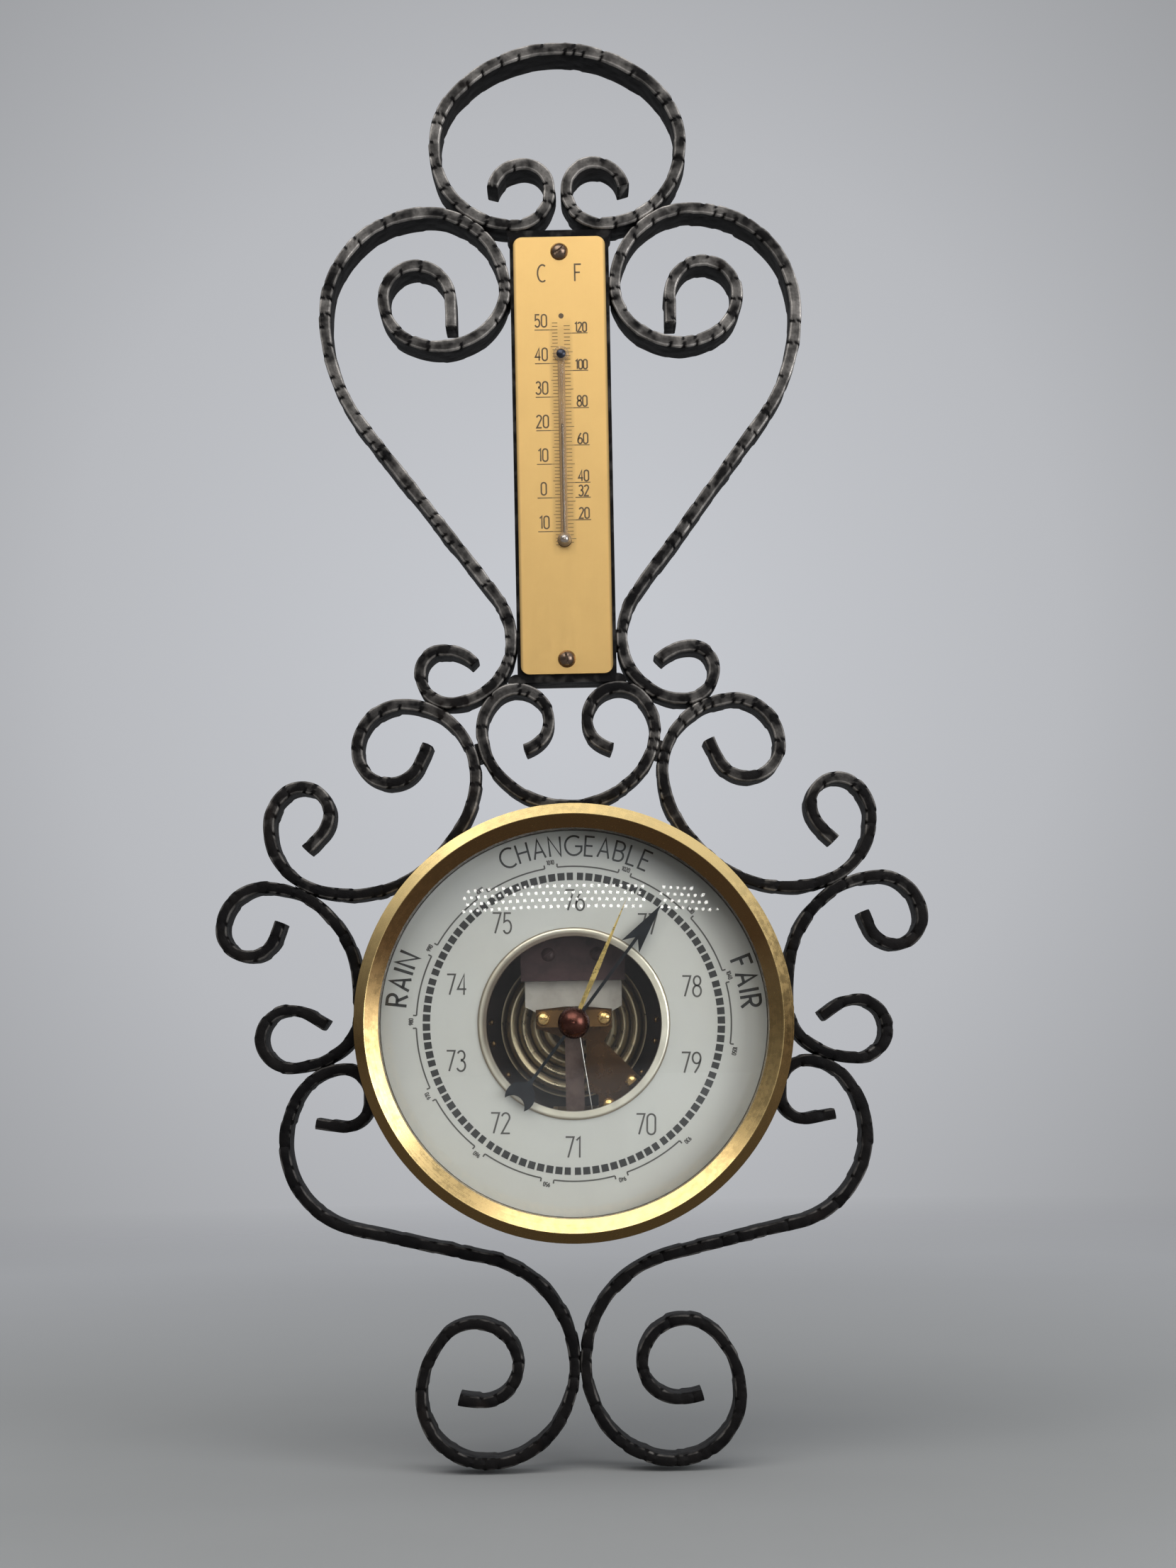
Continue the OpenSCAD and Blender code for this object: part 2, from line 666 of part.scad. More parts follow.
module tube_pin() {
    color(blued) to_row() {
        post(0, loop_y, pin_r, plate_z, tube_z - plate_z + tube_r * 0.6);
        dome(0, loop_y, pin_r + tube_r * 0.35, tube_z + tube_r * 0.6, tube_r * 0.5);
    }
}

module mercury_bulb() {
    color([0.75, 0.75, 0.77]) to_row() translate([0, bulb_y, tube_z]) sphere(r = bulb_r - bulb_wall);
}

module mercury_thread() {
    start = sqrt(pow(bulb_r - bulb_wall, 2) - pow(bore_r, 2)) + hair + (bulb_r - bulb_wall) * 0.1;
    color([0.6, 0.6, 0.62]) to_row() translate([0, bulb_y + start, tube_z]) rotate([-90, 0, 0])
        cylinder(r = bore_r - thread_gap, h = thread_l - start);
}

// Places on the back of the case
foot_gap = 0.6;
foot_y = capsule_r + foot_gap;
adjust_y = (foot_y + bracket_y + bracket_h) / 2;

module case_drum() {
    front = glass_rim_z - loose;
    color(old_brass) to_row() difference() {
        union() {
            disc(drum_r, 0, drum_back_t);
            ring(drum_r, drum_in_r, 0, front);
            ring(drum_r, drum_in_r - ledge_w, dial_back - drum_t, drum_t);
        }
        case_screw_bore(case_screw_r);
        post(0, adjust_y, adjust_hole_r, -over, drum_back_t + 2 * over);
        rivet_places() disc(rivet_r / 2, -over, drum_back_t + 2 * over);
    }
}

module case_screws() {
    color(blued) to_row() for (a = case_screw_angles)
        translate([0, 0, bar_z + bar_d / 2]) rotate(a) rotate([0, 90, 0]) {
            disc(case_screw_r, drum_in_r - bar_t, hoop_r + hair - drum_in_r + bar_t);
            slotted_dome(0, 0, case_screw_head_r, hoop_r + hair, case_screw_head_h, 0);
        }
}

module bezel() {
    edge_z = bezel_z - bezel_slope;
    skirt_r = drum_r + drum_fit;
    pocket_r = glass_r + drum_fit;
    color(brass) to_row() rotate_extrude() difference() {
        polygon([[bezel_r, bar_front], [bezel_r, edge_z], [bezel_r - bezel_ridge, bezel_z], [lip_r, edge_z],
            [lip_r, lip_z], [pocket_r, lip_z], [pocket_r, glass_rim_z], [skirt_r, glass_rim_z],
            [skirt_r, bar_front]]);
        translate([skirt_r + bezel_t, bar_front - over])
            square([bezel_r - skirt_r - 2 * bezel_t, edge_z - bezel_t / 2 - bar_front + over]);
    }
}

module crystal() {
    color([0.85, 0.9, 0.9, 0.3]) to_row() difference() {
        intersection() {
            disc(glass_r, glass_rim_z, glass_top);
            translate([0, 0, dome_centre]) sphere(r = dome_r, $fn = 200);
        }
        translate([0, 0, dome_centre]) sphere(r = dome_r - glass_t, $fn = 200);
        disc(bushing_r, dial_z, glass_top);
    }
}

module crystal_gasket() {
    color([0.1, 0.09, 0.08]) to_row() ring(glass_r, glass_r - gasket_w, dial_z, gasket_h);
}

// A flanged tube that lines the hole in the glass
module crystal_bushing() {
    color(brass) to_row() difference() {
        union() {
            disc(bushing_r, glass_top - glass_t - bushing_flange, glass_t + bushing_flange);
            disc(bushing_r + bushing_flange, glass_top, bushing_flange);
        }
        disc(stem_r + run_gap, dial_z, glass_top);
    }
}

module dial_plate() {
    color([0.82, 0.82, 0.79]) to_row() ring(dial_r, opening_r, dial_back, dial_t);
}

module dial_rim() {
    color([0.85, 0.8, 0.7]) to_row() rotate_extrude() {
        translate([rim_in_r, dial_back - rim_h]) square([opening_r - rim_in_r, dial_t + 2 * rim_h]);
        translate([opening_r, dial_z]) square([rim_out_r - opening_r - rim_h, rim_h]);
        translate([rim_out_r - rim_h, dial_z]) intersection() {
            circle(r = rim_h);
            square([rim_h, rim_h]);
        }
    }
}

// Rivets stand left and right of the capsule, at these angles
module rivet_places() {
    for (a = [3, -12, -36]) both_sides() rotate(a) translate([rivet_at, 0, 0]) children();
}

module base_plate() {
    color([0.2, 0.16, 0.13]) to_row() difference() {
        disc(base_r, drum_back_t, base_t);
        rivet_places() disc(rivet_r / 2, 0, base_front + over);
        post(0, adjust_y, adjust_r + run_gap, 0, base_front + over);
    }
}

module base_rivets() {
    color(old_brass) to_row() rivet_places() {
        disc(rivet_r / 2, 0, base_front);
        dome(0, 0, rivet_r, base_front, rivet_r * 0.6);
    }
}

// Half height of the capsule at radius r: a cone from rim to boss with rings pressed into it
function capsule_height(r) =
    let (slope = min(1, (capsule_r - r) / (capsule_r - boss_r)), inside = r > boss_r && r < capsule_r - 1)
    diaphragm_t + capsule_rise * slope
        + (inside ? wave_h / 2 * (1 - cos(360 * (capsule_r - 1 - r) / wave_pitch)) : 0);
wave_steps = 8;
wave_radii = [for (r = [capsule_r - 1 : -wave_pitch / wave_steps : boss_r]) r];
capsule_radii = join(join([capsule_r], wave_radii), [boss_r, 0]);

module diaphragm() {
    outside = [for (r = capsule_radii) [r, capsule_height(r)]];
    inside = [for (i = [len(capsule_radii) - 1 : -1 : 1])
        [capsule_radii[i], capsule_height(capsule_radii[i]) - diaphragm_t]];
    rotate_extrude() polygon(join(outside, join(inside, [[capsule_r - 1, 0], [capsule_r, 0]])));
}

module upper_diaphragm() {
    color(brass) to_row() translate([0, 0, capsule_z]) diaphragm();
}

module lower_diaphragm() {
    color(brass) to_row() translate([0, 0, capsule_z]) mirror([0, 0, 1]) diaphragm();
}

capsule_top = capsule_z + capsule_height(0);

module capsule_foot() {
    color(steel) to_row() disc(boss_r * 0.6, base_front, capsule_lift - capsule_height(0));
}

module capsule_stem() {
    color(steel) to_row() {
        disc(stem_r, capsule_top, lever_z + lever_t - capsule_top);
        dome(0, 0, stem_r * 1.4, lever_z + lever_t, stem_r * 0.4);
    }
}

spring_root = bracket_h * 0.8;
spring_neck_w = lever_w + 2 * stem_r;

module main_spring() {
    half = spring_w / 2;
    shoulder_y = bracket_y * 0.42;
    color([0.62, 0.61, 0.58]) to_row() difference() {
        translate([0, 0, spring_z]) linear_extrude(spring_t) polygon([
            [-half, bracket_y + spring_root], [-half, shoulder_y], [-spring_neck_w / 2, 0],
            [-spring_neck_w / 2, -2 * stem_r], [spring_neck_w / 2, -2 * stem_r], [spring_neck_w / 2, 0],
            [half, shoulder_y], [half, bracket_y + spring_root]]);
        disc(stem_r + run_gap, spring_z - over, spring_t + 2 * over);
        spring_screw_places() disc(screw_head_r / 2, spring_z - over, spring_t + 2 * over);
    }
}

module spring_screw_places() {
    for (x = [-spring_w / 4, spring_w / 4])
        translate([x, bracket_y + bracket_h / 2, 0]) children();
}

bracket_w = spring_w + 2 * spring_t;
bracket_top = lever_z + clamp_h;
head_z = capsule_top + wave_h + 2 * loose;

// The bracket's foot stands clear of the capsule, and its head reaches out over it
module spring_bracket() {
    foot_h = bracket_y + bracket_h - foot_y;
    height = bracket_top - head_z;
    color([0.16, 0.12, 0.12]) to_row() difference() {
        union() {
            translate([-bracket_w / 2, bracket_y, head_z]) cube([bracket_w, bracket_h, height]);
            translate([-bracket_w / 2, foot_y, base_front])
                cube([bracket_w, foot_h, head_z - base_front + over]);
        }
        translate([-spring_w / 2, bracket_y - over, spring_z]) cube([spring_w, spring_root + over, spring_t]);
        post(0, adjust_y, adjust_r + run_gap, base_front - over, adjust_reach + over + hair);
        spring_screw_places() disc(screw_head_r / 2, head_z - over, height + 2 * over);
    }
}

module spring_screws() {
    color([0.3, 0.27, 0.24]) to_row() spring_screw_places() {
        disc(screw_head_r / 2, head_z, bracket_top - head_z);
        slotted_dome(0, 0, screw_head_r, bracket_top, screw_head_h, 30);
    }
}

module lever_strap() {
    color([0.36, 0.33, 0.31]) to_row() difference() {
        translate([-lever_w / 2, -link_at - lever_w / 2, lever_z])
            cube([lever_w, link_at + lever_w / 2 + 2 * stem_r, lever_t]);
        disc(stem_r, lever_z - over, lever_t + 2 * over);
        post(0, -link_at, link_r, lever_z - over, lever_t + 2 * over);
    }
}

// The link hangs in the lever and passes through the crank's eye with play
crank_t = 0.8;
eye_r = link_r + link_play;
collar_r = eye_r + 2 * loose;

module link_rod() {
    color(steel) to_row() {
        low = rocker_z - crank_t / 2 - link_play - collar_h;
        post(0, -link_at, link_r, low, lever_z + lever_t - low);
        dome(0, -link_at, 2 * link_r, lever_z + lever_t, link_r);
        post(0, -link_at, collar_r, low, collar_h);
        post(0, -link_at, collar_r, rocker_z + crank_t / 2 + link_play, collar_h);
    }
}

// The rocker's ears stand outside its crank and its arm
rocker_y = -link_at + crank_l;
ear_t = 1.2;
ear_xs = [-chain_x - rocker_arm_w, chain_x + rocker_arm_w];

// A round bar of radius r along the rocker's shaft, w wide from x
module across(x, w, r) {
    translate([x, rocker_y, rocker_z]) rotate([0, 90, 0]) cylinder(r = r, h = w);
}

module rocker_bracket() {
    depth = 5 * rocker_r;
    foot_t = 1;
    color(old_brass) to_row() difference() {
        union() {
            translate([ear_xs[0], rocker_y - depth / 2, base_front])
                cube([ear_xs[1] - ear_xs[0] + ear_t, depth, foot_t]);
            for (x = ear_xs) translate([x, rocker_y - depth / 2, base_front])
                cube([ear_t, depth, rocker_lift + 2.5 * rocker_r]);
        }
        across(ear_xs[0] - over, ear_xs[1] - ear_xs[0] + ear_t + 2 * over, rocker_r + run_gap);
    }
}

module rocker_shaft() {
    color(steel) to_row()
        across(ear_xs[0] - rocker_r, ear_xs[1] - ear_xs[0] + ear_t + 2 * rocker_r, rocker_r);
}

module rocker_arm() {
    left = chain_x - rocker_arm_w / 2;
    hub_r = 1.7 * rocker_r;
    color(old_brass) to_row() difference() {
        union() {
            across(left, rocker_arm_w, hub_r);
            translate([left, rocker_y - rocker_r, rocker_z])
                cube([rocker_arm_w, 2 * rocker_r, chain_z + 2 * chain_r - rocker_z]);
        }
        across(left - over, rocker_arm_w + 2 * over, rocker_r);
    }
}

module rocker_crank() {
    hub_r = 1.7 * rocker_r;
    width = 2 * (eye_r + crank_t);
    color(old_brass) to_row() difference() {
        union() {
            across(-width / 2, width, hub_r);
            translate([-width / 2, -link_at, rocker_z - crank_t / 2]) cube([width, crank_l, crank_t]);
            post(0, -link_at, width / 2, rocker_z - crank_t / 2, crank_t);
        }
        across(-width, 2 * width, rocker_r);
        post(0, -link_at, eye_r, rocker_z - hub_r - over, 2 * hub_r + 2 * over);
    }
}

// The chain leaves the drum's right side and ends on the rocker arm's upper face
chain_from = [chain_drum_r + chain_r + hair, 0];
chain_to = [chain_x, rocker_y + rocker_r];

module chain() {
    way = chain_to - chain_from;
    color([0.7, 0.68, 0.64]) to_row() translate([chain_from[0], chain_from[1], chain_z])
        rotate(atan2(way[1], way[0])) rotate([0, 90, 0])
        cylinder(r = chain_r, h = norm(way) - chain_r);
}

pillar_xy = [[16.3, -16.6], [9.6, -23.1]];
// The movement arm's edge from left to right below the arbor, round the chain, the rocker arm and the pillars
arm_edge = [[-4, -3.4], [3.3, -4.2], [3.3, -18.8], [6.6, -20.2], [6.6, -25], [10, -26], [18.6, -19.5],
    [19.4, -16.2], [8.4, -5]];
arm_ear = [4.2, -1];

// The hairspring is a flat spiral ribbon from the arbor's collet to a stud on the movement arm
spiral_gap = 0.3;
spiral_z = drum_z + drum_h + spiral_gap;
spiral_h = 0.7;
spiral_turns = 4.25;
spiral_steps = 20;
spiral_t = 0.15;
spiral_pitch = 0.55;
spiral_count = spiral_turns * spiral_steps;
collet_r = 1.3 * chain_drum_r;
stud_r = 0.45;
function spiral_r(i) = collet_r + hair + i / spiral_steps * spiral_pitch;

module movement_arm() {
    stud_y = spiral_r(spiral_count) + spiral_t + hair + stud_r;
    ear_x = bridge_x + pillar_r + foot_gap;
    neck_x = 5.5 * stud_r;
    neck_y = stud_y + 2 * stud_r;
    color([0.42, 0.26, 0.14]) to_row() difference() {
        union() {
            translate([0, 0, arm_z]) linear_extrude(arm_t) polygon(join(
                join([[-ear_x, arm_ear[0]], [-ear_x, arm_ear[1]]], arm_edge),
                [[ear_x, arm_ear[1]], [ear_x, arm_ear[0]], [neck_x, neck_y], [-neck_x, neck_y]]));
            post(0, stud_y, stud_r, arm_z, spiral_z + spiral_h + hair - arm_z);
        }
        disc(arbor_r + run_gap, arm_z - over, arm_t + 2 * over);
    }
}

module arm_pillars() {
    color(brass) to_row() for (p = pillar_xy) post(p[0], p[1], pillar_r, base_front, arm_lift);
}

module arm_screws() {
    color(brass) to_row() for (p = pillar_xy)
        slotted_dome(p[0], p[1], screw_head_r, arm_front, screw_head_h, 40);
}

bridge_y = 1.5;
bridge_w = 4.8;

module arbor_bridge() {
    color([0.45, 0.3, 0.16]) to_row() difference() {
        union() {
            translate([0, bridge_y - bridge_w / 2, bridge_z])
                rounded_plate(2 * (bridge_x + screw_head_r), bridge_w, screw_head_r, arm_t);
            for (x = [-bridge_x, bridge_x]) post(x, bridge_y, pillar_r, arm_front, bridge_gap);
        }
        disc(arbor_r + run_gap, bridge_z - over, arm_t + 2 * over);
    }
}

module bridge_screws() {
    color(brass) to_row() for (x = [-bridge_x, bridge_x])
        slotted_dome(x, bridge_y, screw_head_r, bridge_front, screw_head_h, 20 * x);
}

hand_boss_r = 1.6;
hand_boss_h = 0.8;

module hand_arbor() {
    color(steel) to_row() {
        disc(arbor_r, arm_z - 2 * hair, hand_z + hand_t + hand_boss_h - arm_z + 2 * hair);
        disc(collet_r, spiral_z, spiral_h);
    }
}

module chain_drum() {
    flange = 0.3;
    color(brass) to_row() difference() {
        union() {
            disc(chain_drum_r, drum_z, drum_h);
            disc(chain_drum_r + 3 * chain_r, drum_z, flange);
            disc(chain_drum_r + 3 * chain_r, drum_z + drum_h - flange, flange);
        }
        disc(arbor_r, drum_z - over, drum_h + 2 * over);
    }
}

function spiral_corner(i, out, up) =
    let (r = spiral_r(i) + (out ? spiral_t : 0), a = 360 * i / spiral_steps)
    [r * cos(a), r * sin(a), spiral_z + (up ? spiral_h : 0)];

module hairspring() {
    points = [for (i = [0 : spiral_count])
        for (c = [[false, false], [true, false], [true, true], [false, true]])
        spiral_corner(i, c[0], c[1])];
    sides = [for (i = [0 : spiral_count - 1]) for (k = [0 : 3])
        for (t = [[4 * i + k, 4 * i + 4 + k, 4 * i + (k + 1) % 4],
            [4 * i + (k + 1) % 4, 4 * i + 4 + k, 4 * i + 4 + (k + 1) % 4]]) t];
    last = 4 * spiral_count;
    color([0.45, 0.5, 0.6]) to_row()
        polyhedron(points, join(sides, [[0, 1, 2], [0, 2, 3],
            [last, last + 2, last + 1], [last, last + 3, last + 2]]));
}

module hand_place(angle, z) {
    translate([0, 0, z]) rotate(-angle) children();
}

hand_hub_r = 2.4;
// How far the arrowhead's barbs reach back, and how deep it is cut in between them
barb = 1;
notch = 2.5;

module pressure_hand() {
    color([0.05, 0.06, 0.07]) to_row() hand_place(hand_angle, hand_z) difference() {
        linear_extrude(hand_t) union() {
            translate([-hand_w / 2, -tail_l + 0.8 * tail_r])
                square([hand_w, tail_l - 0.8 * tail_r + arrow_from + notch + hand_w]);
            polygon([[0, hand_l], [-arrow_w / 2, arrow_from - barb], [0, arrow_from + notch],
                [arrow_w / 2, arrow_from - barb]]);
            circle(r = hand_hub_r);
            difference() {
                union() {
                    translate([0, -tail_l]) circle(r = tail_r);
                    polygon([[0, -tail_l + 1.7 * tail_r], [-0.6 * tail_r, -tail_l], [0.6 * tail_r, -tail_l]]);
                }
                translate([0, -tail_l - 0.85 * tail_r]) circle(r = 0.8 * tail_r);
            }
        }
        disc(arbor_r, -over, hand_t + 2 * over);
    }
}

module hand_boss() {
    color(old_brass) to_row() difference() {
        disc(hand_boss_r, hand_z + hand_t, hand_boss_h);
        disc(arbor_r, hand_z - over, hand_t + 3 * over);
    }
}

set_hub_r = 2.5;

module set_hand() {
    color(brass) to_row() hand_place(set_angle, set_z) difference() {
        union() {
            disc(set_hub_r, 0, hand_t);
            linear_extrude(hand_t) polygon([[-set_w / 3, 0], [-set_w / 2, 0.42 * set_l], [0, set_l],
                [set_w / 2, 0.42 * set_l], [set_w / 3, 0]]);
        }
        disc(stem_r, -over, hand_t + 2 * over);
    }
}

knob_z = glass_top + bushing_flange + hair;
knob_socket = 1;

module set_stem() {
    color(brass) to_row() disc(stem_r, set_z, knob_z + knob_socket - set_z);
}

module set_knob() {
    color([0.55, 0.3, 0.2]) to_row() difference() {
        union() {
            disc(knob_r, knob_z, 0.3 * knob_h);
            dome(0, 0, knob_r, knob_z + 0.3 * knob_h, 0.7 * knob_h);
        }
        disc(stem_r, knob_z - over, knob_socket + over);
    }
}

adjust_reach = 5;

module adjusting_screw() {
    color(steel) to_row() difference() {
        union() {
            post(0, adjust_y, adjust_r, hair, base_front + adjust_reach - hair);
            post(0, adjust_y, 1.6 * adjust_r, hair, drum_back_t - 2 * hair);
        }
        translate([-2 * adjust_r, adjust_y - 0.2 * adjust_r, -over])
            cube([4 * adjust_r, 0.4 * adjust_r, over + 0.5 * drum_back_t]);
    }
}

top_arch();
heart_scroll_left();
heart_scroll_right();
lyre_scroll();
shoulder_scroll_left();
shoulder_scroll_right();
side_scroll_left();
side_scroll_right();
base_scroll_left();
base_scroll_right();
case_hoop();
weld_beads();
thermometer_backing();
scale_plate();
plate_screws();
glass_tube();
tube_pin();
mercury_bulb();
mercury_thread();
case_drum();
case_screws();
bezel();
crystal();
crystal_gasket();
crystal_bushing();
dial_plate();
dial_rim();
base_plate();
base_rivets();
lower_diaphragm();
upper_diaphragm();
capsule_foot();
capsule_stem();
main_spring();
spring_bracket();
spring_screws();
lever_strap();
link_rod();
rocker_bracket();
rocker_shaft();
rocker_arm();
rocker_crank();
chain();
movement_arm();
arm_pillars();
arm_screws();
arbor_bridge();
bridge_screws();
hand_arbor();
chain_drum();
hairspring();
pressure_hand();
hand_boss();
set_hand();
set_stem();
set_knob();
adjusting_screw();
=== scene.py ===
"""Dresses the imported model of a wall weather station: scrolled iron bars that carry a thermometer
above a round aneroid barometer. Everything is in metres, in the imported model's frame: x to the
right, z up, and the front towards -y. Plans of flat work are in millimetres, x right and y up."""
import math
import random

import bmesh
import bpy
from mathutils import Matrix, Vector, noise


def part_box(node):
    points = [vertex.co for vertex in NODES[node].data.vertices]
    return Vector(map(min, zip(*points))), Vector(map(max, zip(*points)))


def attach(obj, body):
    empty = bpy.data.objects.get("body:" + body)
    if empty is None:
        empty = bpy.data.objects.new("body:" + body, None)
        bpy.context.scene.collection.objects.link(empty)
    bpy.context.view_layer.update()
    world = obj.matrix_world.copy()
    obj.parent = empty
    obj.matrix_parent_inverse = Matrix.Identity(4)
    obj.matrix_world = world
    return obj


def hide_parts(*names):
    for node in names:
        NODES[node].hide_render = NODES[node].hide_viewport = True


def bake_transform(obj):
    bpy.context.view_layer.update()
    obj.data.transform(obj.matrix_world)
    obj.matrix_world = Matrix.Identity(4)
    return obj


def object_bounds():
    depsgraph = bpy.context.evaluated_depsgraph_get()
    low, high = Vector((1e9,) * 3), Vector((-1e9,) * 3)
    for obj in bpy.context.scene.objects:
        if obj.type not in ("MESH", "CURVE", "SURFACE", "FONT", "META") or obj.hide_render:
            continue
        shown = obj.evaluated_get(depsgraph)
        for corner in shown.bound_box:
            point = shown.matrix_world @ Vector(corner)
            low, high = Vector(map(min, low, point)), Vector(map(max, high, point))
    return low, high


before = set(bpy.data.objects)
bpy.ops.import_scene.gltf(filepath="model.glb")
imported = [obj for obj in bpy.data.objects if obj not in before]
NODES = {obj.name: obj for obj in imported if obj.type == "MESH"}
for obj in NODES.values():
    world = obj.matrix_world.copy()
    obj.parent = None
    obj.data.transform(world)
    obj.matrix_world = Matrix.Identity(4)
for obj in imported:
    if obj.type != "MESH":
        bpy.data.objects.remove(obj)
CAD_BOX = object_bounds()
MM = 0.001
scene = bpy.context.scene
scene.view_settings.view_transform = "Standard"


def front_of(node):
    """How far the front of a solid stands off the wall, in millimetres."""
    return -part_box(node)[0][1] / MM


# Camera
# It stands below the dial, as in the photograph. Its pitch and roll are in degrees
SENSOR = 36.0
LENS = 55.996
SHIFT_X = 0.0074
SHIFT_Y = 0.15
CAMERA_PLACE = (0.00073, -0.71387, -0.01134)
CAMERA_PITCH = 1.052
CAMERA_ROLL = -1.1


def make_camera():
    data = bpy.data.cameras.new("camera")
    data.sensor_fit = "VERTICAL"
    data.sensor_height = SENSOR
    data.lens = LENS
    data.shift_x = SHIFT_X
    data.shift_y = SHIFT_Y
    data.clip_start = 0.01
    camera = bpy.data.objects.new("camera", data)
    camera.matrix_world = (Matrix.Translation(CAMERA_PLACE)
                           @ Matrix.Rotation(math.radians(90.0 + CAMERA_PITCH), 4, "X")
                           @ Matrix.Rotation(math.radians(CAMERA_ROLL), 4, "Z"))
    scene.collection.objects.link(camera)
    scene.camera = camera


# Materials
class Graph:
    """A new material with one Principled shader, and short calls to build what feeds it."""

    def __init__(self, name, colour, rough, metal=0.0, **plain):
        self.mat = bpy.data.materials.new(name)
        self.mat.use_nodes = True
        self.tree = self.mat.node_tree
        self.tree.nodes.clear()
        self.shader = self.node("ShaderNodeBsdfPrincipled")
        self.output = self.node("ShaderNodeOutputMaterial")
        self.put(self.output.inputs["Surface"], self.shader.outputs["BSDF"])
        self.set("Base Color", (*colour, 1.0))
        self.set("Roughness", rough)
        self.set("Metallic", metal)
        for key, value in plain.items():
            self.set(key.replace("_", " "), value)

    def put(self, socket, value):
        if isinstance(value, bpy.types.NodeSocket):
            self.tree.links.new(value, socket)
        else:
            socket.default_value = value

    def set(self, name, value):
        self.put(self.shader.inputs[name], value)

    def node(self, kind, inputs=(), **props):
        made = self.tree.nodes.new(kind)
        for key, value in props.items():
            setattr(made, key, value)
        for key, value in dict(inputs).items():
            self.put(made.inputs[key], value)
        return made

    def math(self, operation, a, b=0.0, clamp=False):
        return self.node("ShaderNodeMath", {0: a, 1: b}, operation=operation, use_clamp=clamp).outputs[0]

    def times(self, a, b):
        return self.math("MULTIPLY", a, b)

    def mix(self, share, a, b):
        """Colour a, with that share of colour b."""
        made = self.node("ShaderNodeMix", data_type="RGBA")
        self.put(made.inputs[0], share)
        self.put(made.inputs[6], a if isinstance(a, bpy.types.NodeSocket) else (*a, 1.0))
        self.put(made.inputs[7], b if isinstance(b, bpy.types.NodeSocket) else (*b, 1.0))
        return made.outputs[2]

    def span(self, value, low, high, to_low=0.0, to_high=1.0):
        """Goes from to_low to to_high as the value goes from low to high, and stays there beyond."""
        made = self.node("ShaderNodeMapRange", {0: value, 1: low, 2: high, 3: to_low, 4: to_high})
        return made.outputs[0]

    def place(self):
        return self.node("ShaderNodeTexCoord").outputs["Object"]

    def axes(self, vector=None):
        """The x, y and z of a vector, or of the place on the object."""
        return self.node("ShaderNodeSeparateXYZ", {0: vector or self.place()}).outputs

    def stretched(self, x, y, z):
        """The place on the object, each axis times a number."""
        made = self.node("ShaderNodeVectorMath", {0: self.place(), 1: (x, y, z)}, operation="MULTIPLY")
        return made.outputs[0]

    def radius(self, upright=False):
        """The distance from the dial's axis, or from the upright line through the dial's middle."""
        x, y, z = self.axes()
        other = y if upright else z
        return self.math("SQRT", self.math("ADD", self.times(x, x), self.times(other, other)))

    def noise(self, size, detail=3.0, rough=0.55, where=None):
        """Noise whose blobs are about size metres across."""
        made = self.node("ShaderNodeTexNoise", {"Vector": where or self.place(), "Scale": 1.0 / size,
                                                "Detail": detail, "Roughness": rough})
        return made.outputs[0]

    def turned(self, size, along=40.0):
        """Noise drawn out by so many degrees round the dial's axis, as on a part turned on a lathe."""
        x, y, z = self.axes()
        angle = self.math("ARCTAN2", z, x)
        place = self.node("ShaderNodeCombineXYZ", {0: self.times(self.radius(), 1.0 / size),
                                                   1: self.times(angle, math.degrees(1.0 / along)),
                                                   2: self.times(y, 1.0 / size)})
        made = self.node("ShaderNodeTexNoise", {"Vector": place.outputs[0], "Scale": 1.0, "Detail": 2.0})
        return made.outputs[0]

    def bump(self, height, depth, strength):
        """Adds a bump of depth metres on top of those already there."""
        made = self.node("ShaderNodeBump", {"Strength": strength, "Distance": depth, "Height": height})
        socket = self.shader.inputs["Normal"]
        if socket.is_linked:
            self.put(made.inputs["Normal"], socket.links[0].from_socket)
        self.put(socket, made.outputs[0])

    def stain(self, colour, share):
        """Mixes that share of a colour into the base colour made so far."""
        base = self.shader.inputs["Base Color"].links[0].from_socket
        self.set("Base Color", self.mix(share, base, colour))


